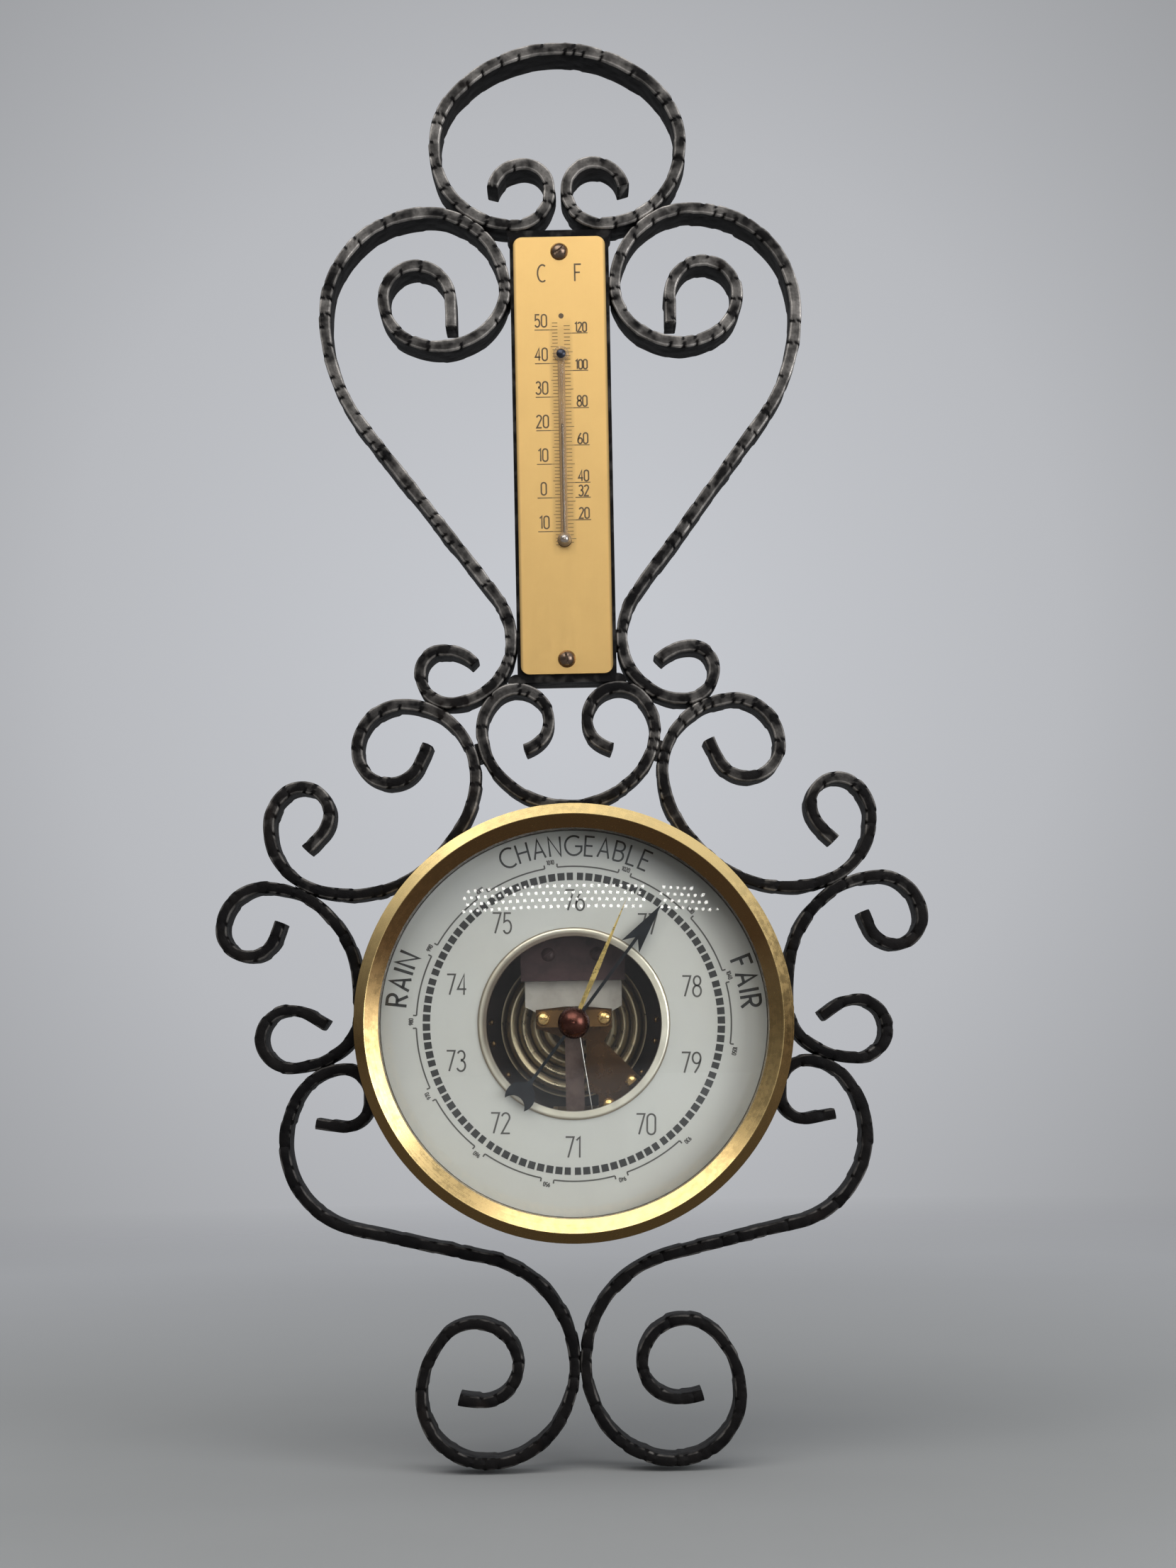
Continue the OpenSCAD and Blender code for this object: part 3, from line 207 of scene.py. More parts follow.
def iron(name, lit_wear_by_piece):
    """Blackened iron. On the bars, the attribute worn says where the hammered edges are bare, partly real
    wear and partly painted highlight.
    """
    g = Graph(name, (0.012, 0.011, 0.011), 0.45)
    g.set("Specular IOR Level", 0.06)
    patches = g.noise(0.005, 2.0)
    fine = g.noise(0.0007, 4.0, 0.65)
    if lit_wear_by_piece:
        worn = g.node("ShaderNodeAttribute", attribute_name="worn").outputs["Fac"]
    else:
        facing = g.axes(g.node("ShaderNodeNewGeometry").outputs["Normal"])[1]
        worn = g.span(facing, -0.6, -1.0, 0.0, 0.12)
    rubbed_and_lit = g.span(g.times(worn, g.span(patches, 0.35, 0.65, 0.45, 1.3)), 0.1, 0.85)
    rubbed_and_lit = g.math("MULTIPLY", rubbed_and_lit, g.span(fine, 0.25, 0.6, 0.6, 1.1), clamp=True)
    cloud = g.span(g.noise(0.012, 3.0), 0.35, 0.7)
    rust = g.span(g.noise(0.02, 4.0, 0.6, g.stretched(1.0, 1.4, 0.8)), 0.6, 0.8, 0.0, 0.6)
    g.set("Base Color", g.mix(cloud, (0.004, 0.0037, 0.004), (0.009, 0.008, 0.0078)))
    g.stain((0.022, 0.015, 0.012), rust)
    # Light grey on the edges and front faces: partly wear, partly painted highlight, stronger on higher bars
    # as painted light from above
    g.stain((0.46, 0.43, 0.4), rubbed_and_lit)
    g.set("Metallic", g.span(rubbed_and_lit, 0.0, 1.0, 0.0, 0.5))
    g.set("Roughness", g.span(g.math("ADD", rubbed_and_lit, fine), 0.2, 1.6, 0.6, 0.36))
    cells = g.node("ShaderNodeTexVoronoi", {"Vector": g.place(), "Scale": 260.0}, feature="SMOOTH_F1")
    g.bump(cells.outputs["Distance"], 0.0009, 0.5)
    g.bump(fine, 0.00012, 0.8)
    return g.mat


def brass(name, bright, dull, rough, grain, grime=0.35, dents=0.00001, patchy=1.0):
    """Polished brass. grain is how its fine scratches run: turned, upright or none."""
    g = Graph(name, bright, rough, 1.0)
    broad = g.noise(0.02, 3.0)
    spots = g.noise(0.0022, 4.0, 0.6)
    aged = g.span(g.math("ADD", broad, g.times(spots, 0.5)), 0.6, 1.0, 0.0, grime)
    g.set("Base Color", g.mix(aged, bright, dull))
    if grain == "turned":
        lines = g.turned(0.00025)
    elif grain == "upright":
        lines = g.noise(1.0, 2.0, 0.5, g.stretched(5200.0, 900.0, 90.0))
    else:
        lines = g.noise(0.0006, 3.0)
    patches = g.span(spots, 0.3, 0.75, rough * (1 - 0.25 * patchy), rough * (1 + 0.7 * patchy))
    g.set("Roughness", g.math("ADD", patches, g.span(lines, 0.3, 0.7, -0.03, 0.05)))
    g.bump(lines, 0.00001, 0.5)
    g.bump(spots, dents, 0.3)
    return g


def plain_metal(name, colour, stain, rough, metal=1.0, grain=0.0009, depth=0.00004):
    """An even finish with small stains: metal, or with metal at 0 paint, rubber or ink."""
    g = Graph(name, colour, rough, metal)
    spots = g.noise(grain * 4, 4.0, 0.6)
    fine = g.noise(grain, 3.0)
    g.set("Base Color", g.mix(g.span(spots, 0.42, 0.75), colour, stain))
    g.set("Roughness", g.span(fine, 0.3, 0.7, rough * 0.8, rough * 1.3))
    g.bump(fine, depth, 0.7)
    return g


def clear_glass(name, tint):
    """Glass that lamps shine through, so that what is behind it is lit."""
    g = Graph(name, tint, 0.02, Transmission_Weight=1.0, IOR=1.5)
    g.set("Roughness", g.span(g.noise(0.006, 4.0), 0.55, 0.8, 0.0, 0.05))
    clear = g.node("ShaderNodeBsdfTransparent", {"Color": (*tint, 1.0)})
    lamp = g.node("ShaderNodeLightPath").outputs["Is Shadow Ray"]
    mixed = g.node("ShaderNodeMixShader", {0: lamp, 1: g.shader.outputs[0], 2: clear.outputs[0]})
    g.put(g.output.inputs["Surface"], mixed.outputs[0])
    return g


def ink(name, colour, faded):
    return plain_metal(name, colour, faded, 0.5, 0.0, 0.0005, 0.000005).mat


# Iron bars
# Bends as in the solids: (radius, angle) bends left, a negative angle bends right, (0, length) runs on
ARCH = [(40, -45), (22.5, -135), (10, -90), (7.5, -90), (9, -75)]
HEART_DOWN = [(17.5, 90), (8.5, 90), (6.5, 90), (13, 45)]
HEART_UP = [(22, -37), (0, 60.3), (51.55, 37), (29.4, 90), (21.7, 90), (15, 45), (20, 70), (13, 65),
            (9.5, 180), (0, 8)]
LYRE = [(26, 50), (19.5, 40), (12.18, 50), (9, 130), (8, 55), (15, 15)]
SHOULDER_OUT = [(34, 41), (30, 25), (18, 65), (13, 45), (8, 45), (7.5, 90), (9, 45), (0, 5.5)]
SHOULDER_UP = [(45, -20), (26.4, -29), (20.3, -90), (13, -90), (9.2, -155), (0, 6)]
SIDE_UP = [(60, -12), (30, -41), (24, -40), (12, -90), (7.5, -90), (8, -70), (0, 4.5)]
SIDE_DOWN = [(13.6, 52), (24, 35), (8.2, 180), (12, 35), (0, 4)]
BASE_UP = [(31, -107), (0, 38), (25, 117), (14, 50), (7.5, 90), (0, 2), (7, 100), (0, 7)]
BASE_DOWN = [(24, 60), (18.5, 90), (25, 43), (12, 140), (10, 90), (30, 12)]
# Bars across the middle: where the bar starts, heading right, and its bends on the right half
MIDDLE_BARS = {"top_arch": ((0, 276.744), ARCH), "lyre_scroll": ((0, 61.62), LYRE)}
# Bars on each side: where the bar starts and its heading there, and its bends backwards and forwards
SIDE_BARS = {
    "heart_scroll": ((15.62, 108.786), 90, HEART_DOWN, HEART_UP),
    "shoulder_scroll": ((39.663, 45.844), -40.866, SHOULDER_UP, SHOULDER_OUT),
    "side_scroll": ((60.515, 3.569), 93.375, SIDE_DOWN, SIDE_UP),
    "base_scroll": ((5.713, -111.2), 120, BASE_DOWN, BASE_UP),
}
BAR_HALF = 1.62
BAR_BACK = -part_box("top_arch")[1][1] / MM
BAR_DEPTH = front_of("top_arch") - BAR_BACK
STEP = 0.9
# The bar's section: (side from -1 to 1, depth from 0 at the back to 1 at the front, how much it shows wear
# and painted highlight)
SECTION = [(-0.6, 1.0, 0.36), (0.0, 1.003, 0.28), (0.6, 1.0, 0.36), (0.84, 0.985, 1.0), (0.98, 0.95, 0.9),
           (1.0, 0.89, 0.05), (1.03, 0.62, 0.0), (1.03, 0.38, 0.0), (1.0, 0.16, 0.0), (1.0, 0.05, 0.2),
           (0.85, 0.0, 0.2), (-0.85, 0.0, 0.2), (-1.0, 0.05, 0.2), (-1.0, 0.16, 0.0), (-1.03, 0.38, 0.0),
           (-1.03, 0.62, 0.0), (-1.0, 0.89, 0.05), (-0.98, 0.95, 0.9), (-0.84, 0.985, 1.0)]
# Points of the section above this depth are on its front, and those beyond this side are at a corner
FRONT_FROM = 0.9
CORNER_FROM = 0.5
# Each hammer blow covers a few steps, tilts the front and both sides there, and may leave a nick at its edge
BLOW_STEPS = (3, 7)
BLOW_TILT = (-0.24, 0.2)
FRONT_TILT = 0.6
CORNER_TILT = 0.7
BLOW_WEAR_LIGHT = (0.55, 1.0)
NICK_CHANCE = 0.62
NICK_SIDE = 0.3
NICK_FRONT = 0.35
# A bar's width wavers by up to so many millimetres, and its ends are rounded over
WAVER = 0.06
WAVER_RATE = 0.09
END_SHRINK = 0.45
END_REACH = 0.12
SHARP_EDGE = math.radians(26)
# The bars' edge wear and painted highlight are weakest below the first height, and in full above the second,
# as painted light from above
WEAR_LIGHT_LEAST = 0.25
WEAR_LIGHT_FROM = 20
WEAR_LIGHT_FULL = 170
FIRST_SEED = 11
SEED_STEP = 7


def walk(start, heading, bends):
    """Points (x, y, heading) about STEP millimetres apart along the bends, the start left out."""
    points = []
    x, y = start
    for radius, turn in bends:
        length = turn if radius == 0 else math.radians(abs(turn)) * radius
        count = max(2, round(length / STEP))
        for _ in range(count):
            bend = 0 if radius == 0 else turn / count
            middle = math.radians(heading + bend / 2)
            chord = length / count if radius == 0 else 2 * radius * math.sin(math.radians(abs(bend)) / 2)
            x += chord * math.cos(middle)
            y += chord * math.sin(middle)
            heading += bend
            points.append((x, y, heading))
    return points


def whole_bar(start, heading, back, forward):
    """Points along a bar from end to end, from its bends backwards and forwards from the start."""
    behind = [(x, y, h - 180) for x, y, h in walk(start, heading + 180, back)]
    return behind[::-1] + [(*start, heading)] + walk(start, heading, forward)


def rubbing(y):
    """The upper bars are bright along their edges, partly from wear and partly as painted light from above,
    and the lowest ones hardly at all.
    """
    return WEAR_LIGHT_LEAST + (1 - WEAR_LIGHT_LEAST) * min(1.0, max(0.0, (y - WEAR_LIGHT_FROM) / (WEAR_LIGHT_FULL - WEAR_LIGHT_FROM)))


class Hammering:
    """For each point along a bar: how far its faces are struck in, how strongly its edges show wear and
    painted highlight, and where it is nicked.
    """

    def __init__(self, count, seed):
        rng = random.Random(seed)
        self.front, self.side, self.worn, self.nick = [], {1: [], -1: []}, [], {1: [], -1: []}
        while len(self.front) < count:
            length = rng.randint(*BLOW_STEPS)
            wear_light = rng.uniform(*BLOW_WEAR_LIGHT)
            tilt = [rng.uniform(*BLOW_TILT) for _ in range(6)]
            for i in range(length):
                t = i / length
                self.front.append(FRONT_TILT * (tilt[0] * (1 - t) + tilt[1] * t))
                self.worn.append(wear_light)
                for side, a, b in ((1, tilt[2], tilt[3]), (-1, tilt[4], tilt[5])):
                    self.side[side].append(a * (1 - t) + b * t)
                    self.nick[side].append(1.0 if i == 0 and rng.random() < NICK_CHANCE else 0.0)


def closed_mesh(name, bm, rings):
    """Joins each ring of points to the next, closes both ends, and smooths all but the ends."""
    size = len(rings[0])
    for a, b in zip(rings, rings[1:]):
        for k in range(size):
            bm.faces.new((a[k], b[k], b[(k + 1) % size], a[(k + 1) % size]))
    bm.faces.new(rings[0])
    bm.faces.new(rings[-1][::-1])
    bmesh.ops.recalc_face_normals(bm, faces=bm.faces)
    mesh = bpy.data.meshes.new(name)
    bm.to_mesh(mesh)
    bm.free()
    for polygon in mesh.polygons:
        polygon.use_smooth = len(polygon.vertices) == 4
    return mesh


def bar_mesh(name, points, seed):
    """A bar swept along the points, with its struck faces, rounded edges and square-cut ends."""
    struck = Hammering(len(points), seed)
    bm = bmesh.new()
    layer = bm.verts.layers.float.new("worn")
    last = len(points) - 1
    stations = [(0, END_SHRINK, -END_REACH)] + [(i, 0.0, 0.0) for i in range(len(points))]
    stations.append((last, END_SHRINK, END_REACH))
    rings = []
    for i, shrink, reach in stations:
        x, y, heading = points[i]
        along_x, along_y = math.cos(math.radians(heading)), math.sin(math.radians(heading))
        half = BAR_HALF - shrink + WAVER * noise.noise(Vector((x, y, seed)) * WAVER_RATE)
        ring = []
        for side, deep, wear_light in SECTION:
            sign = 1 if side > 0 else -1
            front = deep > FRONT_FROM
            nick = struck.nick[sign][i] if front and abs(side) > CORNER_FROM else 0.0
            dent = struck.side[sign][i] * abs(side) * (CORNER_TILT if front else 1.0) - NICK_SIDE * nick
            across = side * half + sign * dent
            level = BAR_BACK + deep * BAR_DEPTH + (1 - 2 * deep) * shrink
            if front:
                level += struck.front[i] - NICK_FRONT * nick
            vert = bm.verts.new(((x - along_y * across + along_x * reach) * MM, -level * MM,
                                 (y + along_x * across + along_y * reach) * MM))
            vert[layer] = wear_light * struck.worn[i] * (1 - nick) * rubbing(y)
            ring.append(vert)
        rings.append(ring)
    mesh = closed_mesh(name, bm, rings)
    mesh.set_sharp_from_angle(angle=SHARP_EDGE)
    return mesh


def add(name, mesh, material, body="case"):
    """A new piece that rides on a body, or on none."""
    mesh.materials.append(material)
    piece = bpy.data.objects.new(name, mesh)
    scene.collection.objects.link(piece)
    if body:
        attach(piece, body)
    return piece


def make_bars(material):
    bars = {}
    for name, (start, bends) in MIDDLE_BARS.items():
        mirrored = [(radius, -turn) if radius else (radius, turn) for radius, turn in bends]
        bars[name] = whole_bar(start, 0, mirrored, bends)
    for name, bar in SIDE_BARS.items():
        points = whole_bar(*bar)
        bars[name + "_right"] = points
        bars[name + "_left"] = [(-x, y, 180 - heading) for x, y, heading in points]
    for order, (node, points) in enumerate(bars.items()):
        name = node + "_iron"
        mesh = bar_mesh(name, points, FIRST_SEED + SEED_STEP * order)
        piece = add(name, mesh, material)
        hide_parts(node)


# Printed lines and signs
def arc(cx, cy, rx, ry, a, b, count=12):
    return [(cx + rx * math.cos(math.radians(a + (b - a) * i / count)),
             cy + ry * math.sin(math.radians(a + (b - a) * i / count))) for i in range(count + 1)]


# Thin signs drawn as strokes, one unit high: (width, strokes)
SIGNS = {
    "0": (0.4, [arc(0.2, 0.79, 0.2, 0.21, 0, 180) + arc(0.2, 0.21, 0.2, 0.21, 180, 360) + [(0.4, 0.79)]]),
    "1": (0.2, [[(0.0, 0.84), (0.17, 1.0), (0.17, 0.0)]]),
    "2": (0.4, [arc(0.19, 0.78, 0.19, 0.22, 165, -25) + [(0.0, 0.0), (0.4, 0.0)]]),
    "3": (0.4, [arc(0.18, 0.77, 0.18, 0.23, 155, -90) + arc(0.18, 0.27, 0.21, 0.27, 90, -155)]),
    "4": (0.42, [[(0.31, 0.0), (0.31, 1.0), (0.0, 0.28), (0.42, 0.28)]]),
    "5": (0.4, [[(0.37, 1.0), (0.06, 1.0), (0.04, 0.56)] + arc(0.19, 0.32, 0.2, 0.32, 110, -150)]),
    "6": (0.4, [[(0.29, 1.0), (0.1, 0.68), (0.01, 0.4)] + arc(0.2, 0.27, 0.2, 0.27, 170, 530, 20)]),
    "7": (0.4, [[(0.0, 1.0), (0.4, 1.0), (0.13, 0.0)]]),
    "8": (0.4, [arc(0.2, 0.77, 0.17, 0.23, 270, 630, 20), arc(0.2, 0.27, 0.2, 0.27, 90, 450, 20)]),
    "9": (0.4, [[(0.11, 0.0), (0.3, 0.32), (0.39, 0.6)] + arc(0.2, 0.73, 0.2, 0.27, -10, 350, 20)]),
    "A": (0.62, [[(0.0, 0.0), (0.31, 1.0), (0.62, 0.0)], [(0.1, 0.33), (0.52, 0.33)]]),
    "B": (0.5, [[(0.0, 0.0), (0.0, 1.0)] + arc(0.22, 0.76, 0.24, 0.24, 90, -90) + [(0.0, 0.52)],
                [(0.22, 0.52)] + arc(0.24, 0.26, 0.26, 0.26, 90, -90) + [(0.0, 0.0)]]),
    "C": (0.68, [arc(0.46, 0.5, 0.46, 0.5, 55, 305, 20)]),
    "E": (0.44, [[(0.44, 0.0), (0.0, 0.0), (0.0, 1.0), (0.44, 1.0)], [(0.0, 0.52), (0.38, 0.52)]]),
    "F": (0.44, [[(0.0, 0.0), (0.0, 1.0), (0.44, 1.0)], [(0.0, 0.52), (0.36, 0.52)]]),
    "G": (0.8, [arc(0.46, 0.5, 0.46, 0.5, 55, 330, 20) + [(0.86, 0.47), (0.52, 0.47)]]),
    "H": (0.56, [[(0.0, 0.0), (0.0, 1.0)], [(0.56, 0.0), (0.56, 1.0)], [(0.0, 0.52), (0.56, 0.52)]]),
    "I": (0.02, [[(0.01, 0.0), (0.01, 1.0)]]),
    "L": (0.44, [[(0.0, 1.0), (0.0, 0.0), (0.44, 0.0)]]),
    "N": (0.58, [[(0.0, 0.0), (0.0, 1.0), (0.58, 0.0), (0.58, 1.0)]]),
    "R": (0.5, [[(0.0, 0.0), (0.0, 1.0)] + arc(0.24, 0.75, 0.25, 0.25, 90, -90) + [(0.0, 0.5)],
                [(0.2, 0.5), (0.52, 0.0)]]),
}
# How far the ink stands off what it is printed on
INK_LIFT = 0.04


class Print:
    """Flat ink: strokes and patches in one plan, gathered into one thin piece."""

    def __init__(self):
        self.verts = []
        self.faces = []

    def patch(self, corners):
        first = len(self.verts)
        self.verts += corners
        self.faces.append(tuple(range(first, first + len(corners))))

    def stroke(self, points, width):
        """A ribbon along the points, mitred where it turns."""
        sides = []
        closed = math.dist(points[0], points[-1]) < 1e-6
        for i, p in enumerate(points):
            before = points[i - 1] if i else (points[-2] if closed else None)
            after = points[i + 1] if i + 1 < len(points) else (points[1] if closed else None)
            ways = []
            for a, b in ((before, p), (p, after)):
                if a and b:
                    ways.append(Vector((b[0] - a[0], b[1] - a[1])).normalized())
            way = (ways[0] + ways[-1]).normalized() if (ways[0] + ways[-1]).length > 0.1 else ways[0]
            across = Vector((-way.y, way.x))
            reach = width / 2 / max(0.5, abs(across.dot(Vector((-ways[0].y, ways[0].x)))))
            sides.append(((p[0] + across.x * reach, p[1] + across.y * reach),
                          (p[0] - across.x * reach, p[1] - across.y * reach)))
        for a, b in zip(sides, sides[1:]):
            self.patch([a[0], a[1], b[1], b[0]])

    def line(self, text, height, width, place, gap=0.2):
        """Text centred on its middle. place turns a point of the text's own plan into the piece's."""
        advance = [SIGNS[c][0] * height for c in text]
        total = sum(advance) + gap * height * (len(text) - 1)
        x = -total / 2
        for c, step in zip(text, advance):
            for points in SIGNS[c][1]:
                self.stroke([place(x + px * height, (py - 0.5) * height) for px, py in points], width)
            x += step + gap * height

    def make(self, name, node, material, slot, turn=0.0):
        """Lays the ink on a solid's front, the whole turned clockwise about the dial's axis."""
        level = front_of(node) + INK_LIFT
        c, s = math.cos(math.radians(turn)), math.sin(math.radians(turn))
        mesh = bpy.data.meshes.new(name)
        mesh.from_pydata([((x * c + y * s) * MM, -level * MM, (y * c - x * s) * MM) for x, y in self.verts],
                         [], self.faces)
        mesh.validate()
        add(name, mesh, material)


def at_angle(radius, angle):
    """The point at that radius and clockwise angle from the top."""
    a = math.radians(angle)
    return radius * math.sin(a), radius * math.cos(a)


def upright(cx, cy, narrow=1.0):
    """Places upright text, its width times narrow."""
    return lambda x, y: (cx + x * narrow, cy + y)


def round_dial(radius, angle):
    """Places text that follows the circle, its feet towards the middle."""
    return lambda x, y: at_angle(radius + y, angle + math.degrees(x / radius))


# The dial sits in its case a little turned, in degrees
DIAL_TURN = 1.5
# A block for each millimetre of mercury, and the degrees left free beside it, more at each centimetre
BLOCK_R = 41.3
BLOCK_HALF = 1.05
BLOCK_GAP = 0.42
CM_GAP = 0.35
CM_DEGREES = 36.0
MM_DEGREES = CM_DEGREES / 10
TOP_CM = 76
NUMBER_R = 34.6
NUMBER_HIGH = 5.7
NUMBER_LINE = 0.5
NUMBER_GAP = 0.13
WORD_R = 49.9
# Weather words: the angle on the dial, then height, line width and gap between the letters
WORDS = {"RAIN": (-76, 5.6, 0.84, 0.3), "CHANGEABLE": (0, 5.4, 0.56, 0.25), "FAIR": (76, 5.6, 0.84, 0.3)}
# Short lines between the hectopascal numbers, each with a tick at both ends, stopping so many degrees short
HPA_NUMBERS = range(930, 1060, 10)
HPA_TO_CM = 0.0750062
HPA_OUT = 1.5
HPA_HIGH = 1.1
HPA_LINE = 0.28
LINE_R = 44.1
LINE_WIDTH = 0.42
LINE_SHORT = 2.3
LINE_STEPS = 16
TICK = 1.0


def dial_print(black, grey):
    marks = Print()
    inner, outer = BLOCK_R - BLOCK_HALF, BLOCK_R + BLOCK_HALF
    for k in range(100):
        low = k * MM_DEGREES + BLOCK_GAP + (CM_GAP if k % 10 == 0 else 0.0)
        high = (k + 1) * MM_DEGREES - BLOCK_GAP - (CM_GAP if k % 10 == 9 else 0.0)
        corners = ((inner, low), (outer, low), (outer, high), (inner, high))
        marks.patch([at_angle(radius, angle) for radius, angle in corners])
    numbers = Print()
    for number in range(70, 80):
        x, y = at_angle(NUMBER_R, (number - TOP_CM) * CM_DEGREES)
        numbers.line(str(number), NUMBER_HIGH, NUMBER_LINE, upright(x, y), NUMBER_GAP)
    words = Print()
    for word, (angle, high, width, gap) in WORDS.items():
        words.line(word, high, width, round_dial(WORD_R, angle), gap)
    ring = Print()
    angles = [(hpa * HPA_TO_CM - TOP_CM) * CM_DEGREES for hpa in HPA_NUMBERS]
    for hpa, angle in zip(HPA_NUMBERS, angles):
        ring.line(str(hpa), HPA_HIGH, HPA_LINE, round_dial(LINE_R + HPA_OUT, angle))
    for a, b in zip(angles, angles[1:]):
        low, high = a + LINE_SHORT, b - LINE_SHORT
        ring.stroke([at_angle(LINE_R, low + (high - low) * i / LINE_STEPS) for i in range(LINE_STEPS + 1)],
                    LINE_WIDTH)
        for end in (low, high):
            ring.stroke([at_angle(LINE_R, end), at_angle(LINE_R + TICK, end)], LINE_WIDTH)
    for name, flat, colour in (("dial_marks", marks, black), ("dial_numbers", numbers, grey),
                               ("dial_words", words, black), ("dial_ring", ring, grey)):
        flat.make(name, "dial_plate", colour, "printed_dial", DIAL_TURN)


# The thermometer's scale: the height of 0 degrees C, and how far 10 degrees reach
ZERO_C = 148.6
TEN_C = 9.54
# Marks run outwards from beside the tube, the furthest at the tens
MARK_FROM = 0.9
TEN_MARK = 3.3
FIVE_MARK = 2.9
ONE_MARK = 2.4
TWO_F_MARK = 2.6
MARK_WIDTH = 0.16
# Numbers: their middle's x and its height over the mark, how high they are, and the gap in them
C_NUMBER = (-5.6, 2.6, 3.5, 0.14)
F_NUMBER = (5.7, 1.9, 3.0, 0.12)
F_HUNDRED = (5.7, 1.7, 2.6, 0.12)
NUMBER_WIDTH = 0.42
# Each number stands on a rule that goes on from the mark to this distance
C_RULE_END = 7.4
F_RULE_END = 7.6
RULE_WIDTH = 0.24
# The units' signs: the middle's x, and how much narrower than usual
UNITS = {"C": (-5.2, 0.62), "F": (5.2, 0.85)}
UNIT_Y = 212.4
UNIT_HIGH = 4.8
UNIT_WIDTH = 0.45
# The dark disc on the plate above the tube, where a small hole goes through it: painted shade of the hole
HOLE_SHADE = (0.2, 200.2)
HOLE_SHADE_R = 0.75
HOLE_SHADE_CORNERS = 16


def height_c(degrees):
    return ZERO_C + degrees / 10 * TEN_C


def height_f(degrees):
    return height_c((degrees - 32) / 1.8)


def scale_number(scale, number, y, spot, rule_end):
    """A number that stands on its rule at the height y."""
    x, up, high, gap = spot
    scale.line(str(abs(number)), high, NUMBER_WIDTH, upright(x, y + up), gap)
    scale.stroke(sorted([(math.copysign(TEN_MARK, x), y), (math.copysign(rule_end, x), y)]), RULE_WIDTH)


def plate_print(brown):
    scale = Print()
    for c in range(-14, 53):
        reach = TEN_MARK if c % 10 == 0 else FIVE_MARK if c % 5 == 0 else ONE_MARK
        scale.stroke([(-reach, height_c(c)), (-MARK_FROM, height_c(c))], MARK_WIDTH)
    for f in range(8, 126, 2):
        reach = TEN_MARK if f % 10 == 0 else TWO_F_MARK
        scale.stroke([(MARK_FROM, height_f(f)), (reach, height_f(f))], MARK_WIDTH)
    for c in range(-10, 51, 10):
        scale_number(scale, c, height_c(c), C_NUMBER, C_RULE_END)
    for f in (20, 32, 40, 60, 80, 100, 120):
        scale_number(scale, f, height_f(f), F_NUMBER if f < 100 else F_HUNDRED, F_RULE_END)
    for sign, (x, narrow) in UNITS.items():
        scale.line(sign, UNIT_HIGH, UNIT_WIDTH, upright(x, UNIT_Y, narrow))
    scale.make("plate_scale", "scale_plate", brown, "polished_brass")
    # A dark ink disc: painted shade of the hole
    hole_shade = Print()
    hole_shade.patch([(HOLE_SHADE[0] + HOLE_SHADE_R * math.cos(k * math.tau / HOLE_SHADE_CORNERS),
                 HOLE_SHADE[1] + HOLE_SHADE_R * math.sin(k * math.tau / HOLE_SHADE_CORNERS)) for k in range(HOLE_SHADE_CORNERS)])
    hole_shade.make("plate_hole_shade", "scale_plate", brown, "polished_brass")


# Finishes of the solids
# The radius of the bezel's ridge, 3 mm in from its edge, and the width of the turn between its slopes
BEZEL_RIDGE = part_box("bezel")[1][0] - 3 * MM
RIDGE_WIDTH = 0.2 * MM
# The radius at which the capsule's outermost wave begins, and the waves' pitch
CAPSULE_EDGE = 20 * MM
WAVE = 3.5 * MM
# Edges that turn by more than this are rounded
BEVEL_ANGLE = math.radians(40)
# How finely the mercury's column is made
THREAD_SIDES = 12
THREAD_RINGS = 32


def paint(material, *names, bevel=0.0):
    """Gives solids their material, and edges rounded by bevel millimetres, which catch the light."""
    for name in names:
        node = NODES[name]
        node.data.materials.clear()
        node.data.materials.append(material)
        if bevel:
            rounding = node.modifiers.new("edge", "BEVEL")
            rounding.width = bevel * MM
            rounding.segments = 2
            rounding.limit_method = "ANGLE"
            rounding.angle_limit = BEVEL_ANGLE
            rounding.use_clamp_overlap = True


def dress_iron():
    black = iron("iron_black", False)
    paint(black, "case_hoop", "weld_beads")
    paint(black, "thermometer_backing", bevel=0.25)


def dress_bezel():
    """Its inner slope mirrors the dark room, most of all above, and its outer slope does lower down; painted
    reflection darkens both slopes there as well.
    """
    g = brass("brass_bezel", (0.92, 0.68, 0.3), (0.6, 0.38, 0.15), 0.22, "turned", grime=0.25)
    high = g.math("DIVIDE", g.axes()[2], g.radius())
    inside = g.span(g.radius(), BEZEL_RIDGE, BEZEL_RIDGE - RIDGE_WIDTH)
    outside = g.span(g.radius(), BEZEL_RIDGE, BEZEL_RIDGE + RIDGE_WIDTH)
    # Painted reflection: the inner slope darker towards the top, the outer slope darker towards the bottom
    g.stain((0.09, 0.04, 0.015), g.times(g.span(high, -0.5, 0.4, 0.4, 0.95), inside))
    g.stain((0.12, 0.06, 0.02), g.times(g.span(high, 0.62, -0.1, 0.0, 0.9), outside))
    paint(g.mat, "bezel", bevel=0.25)


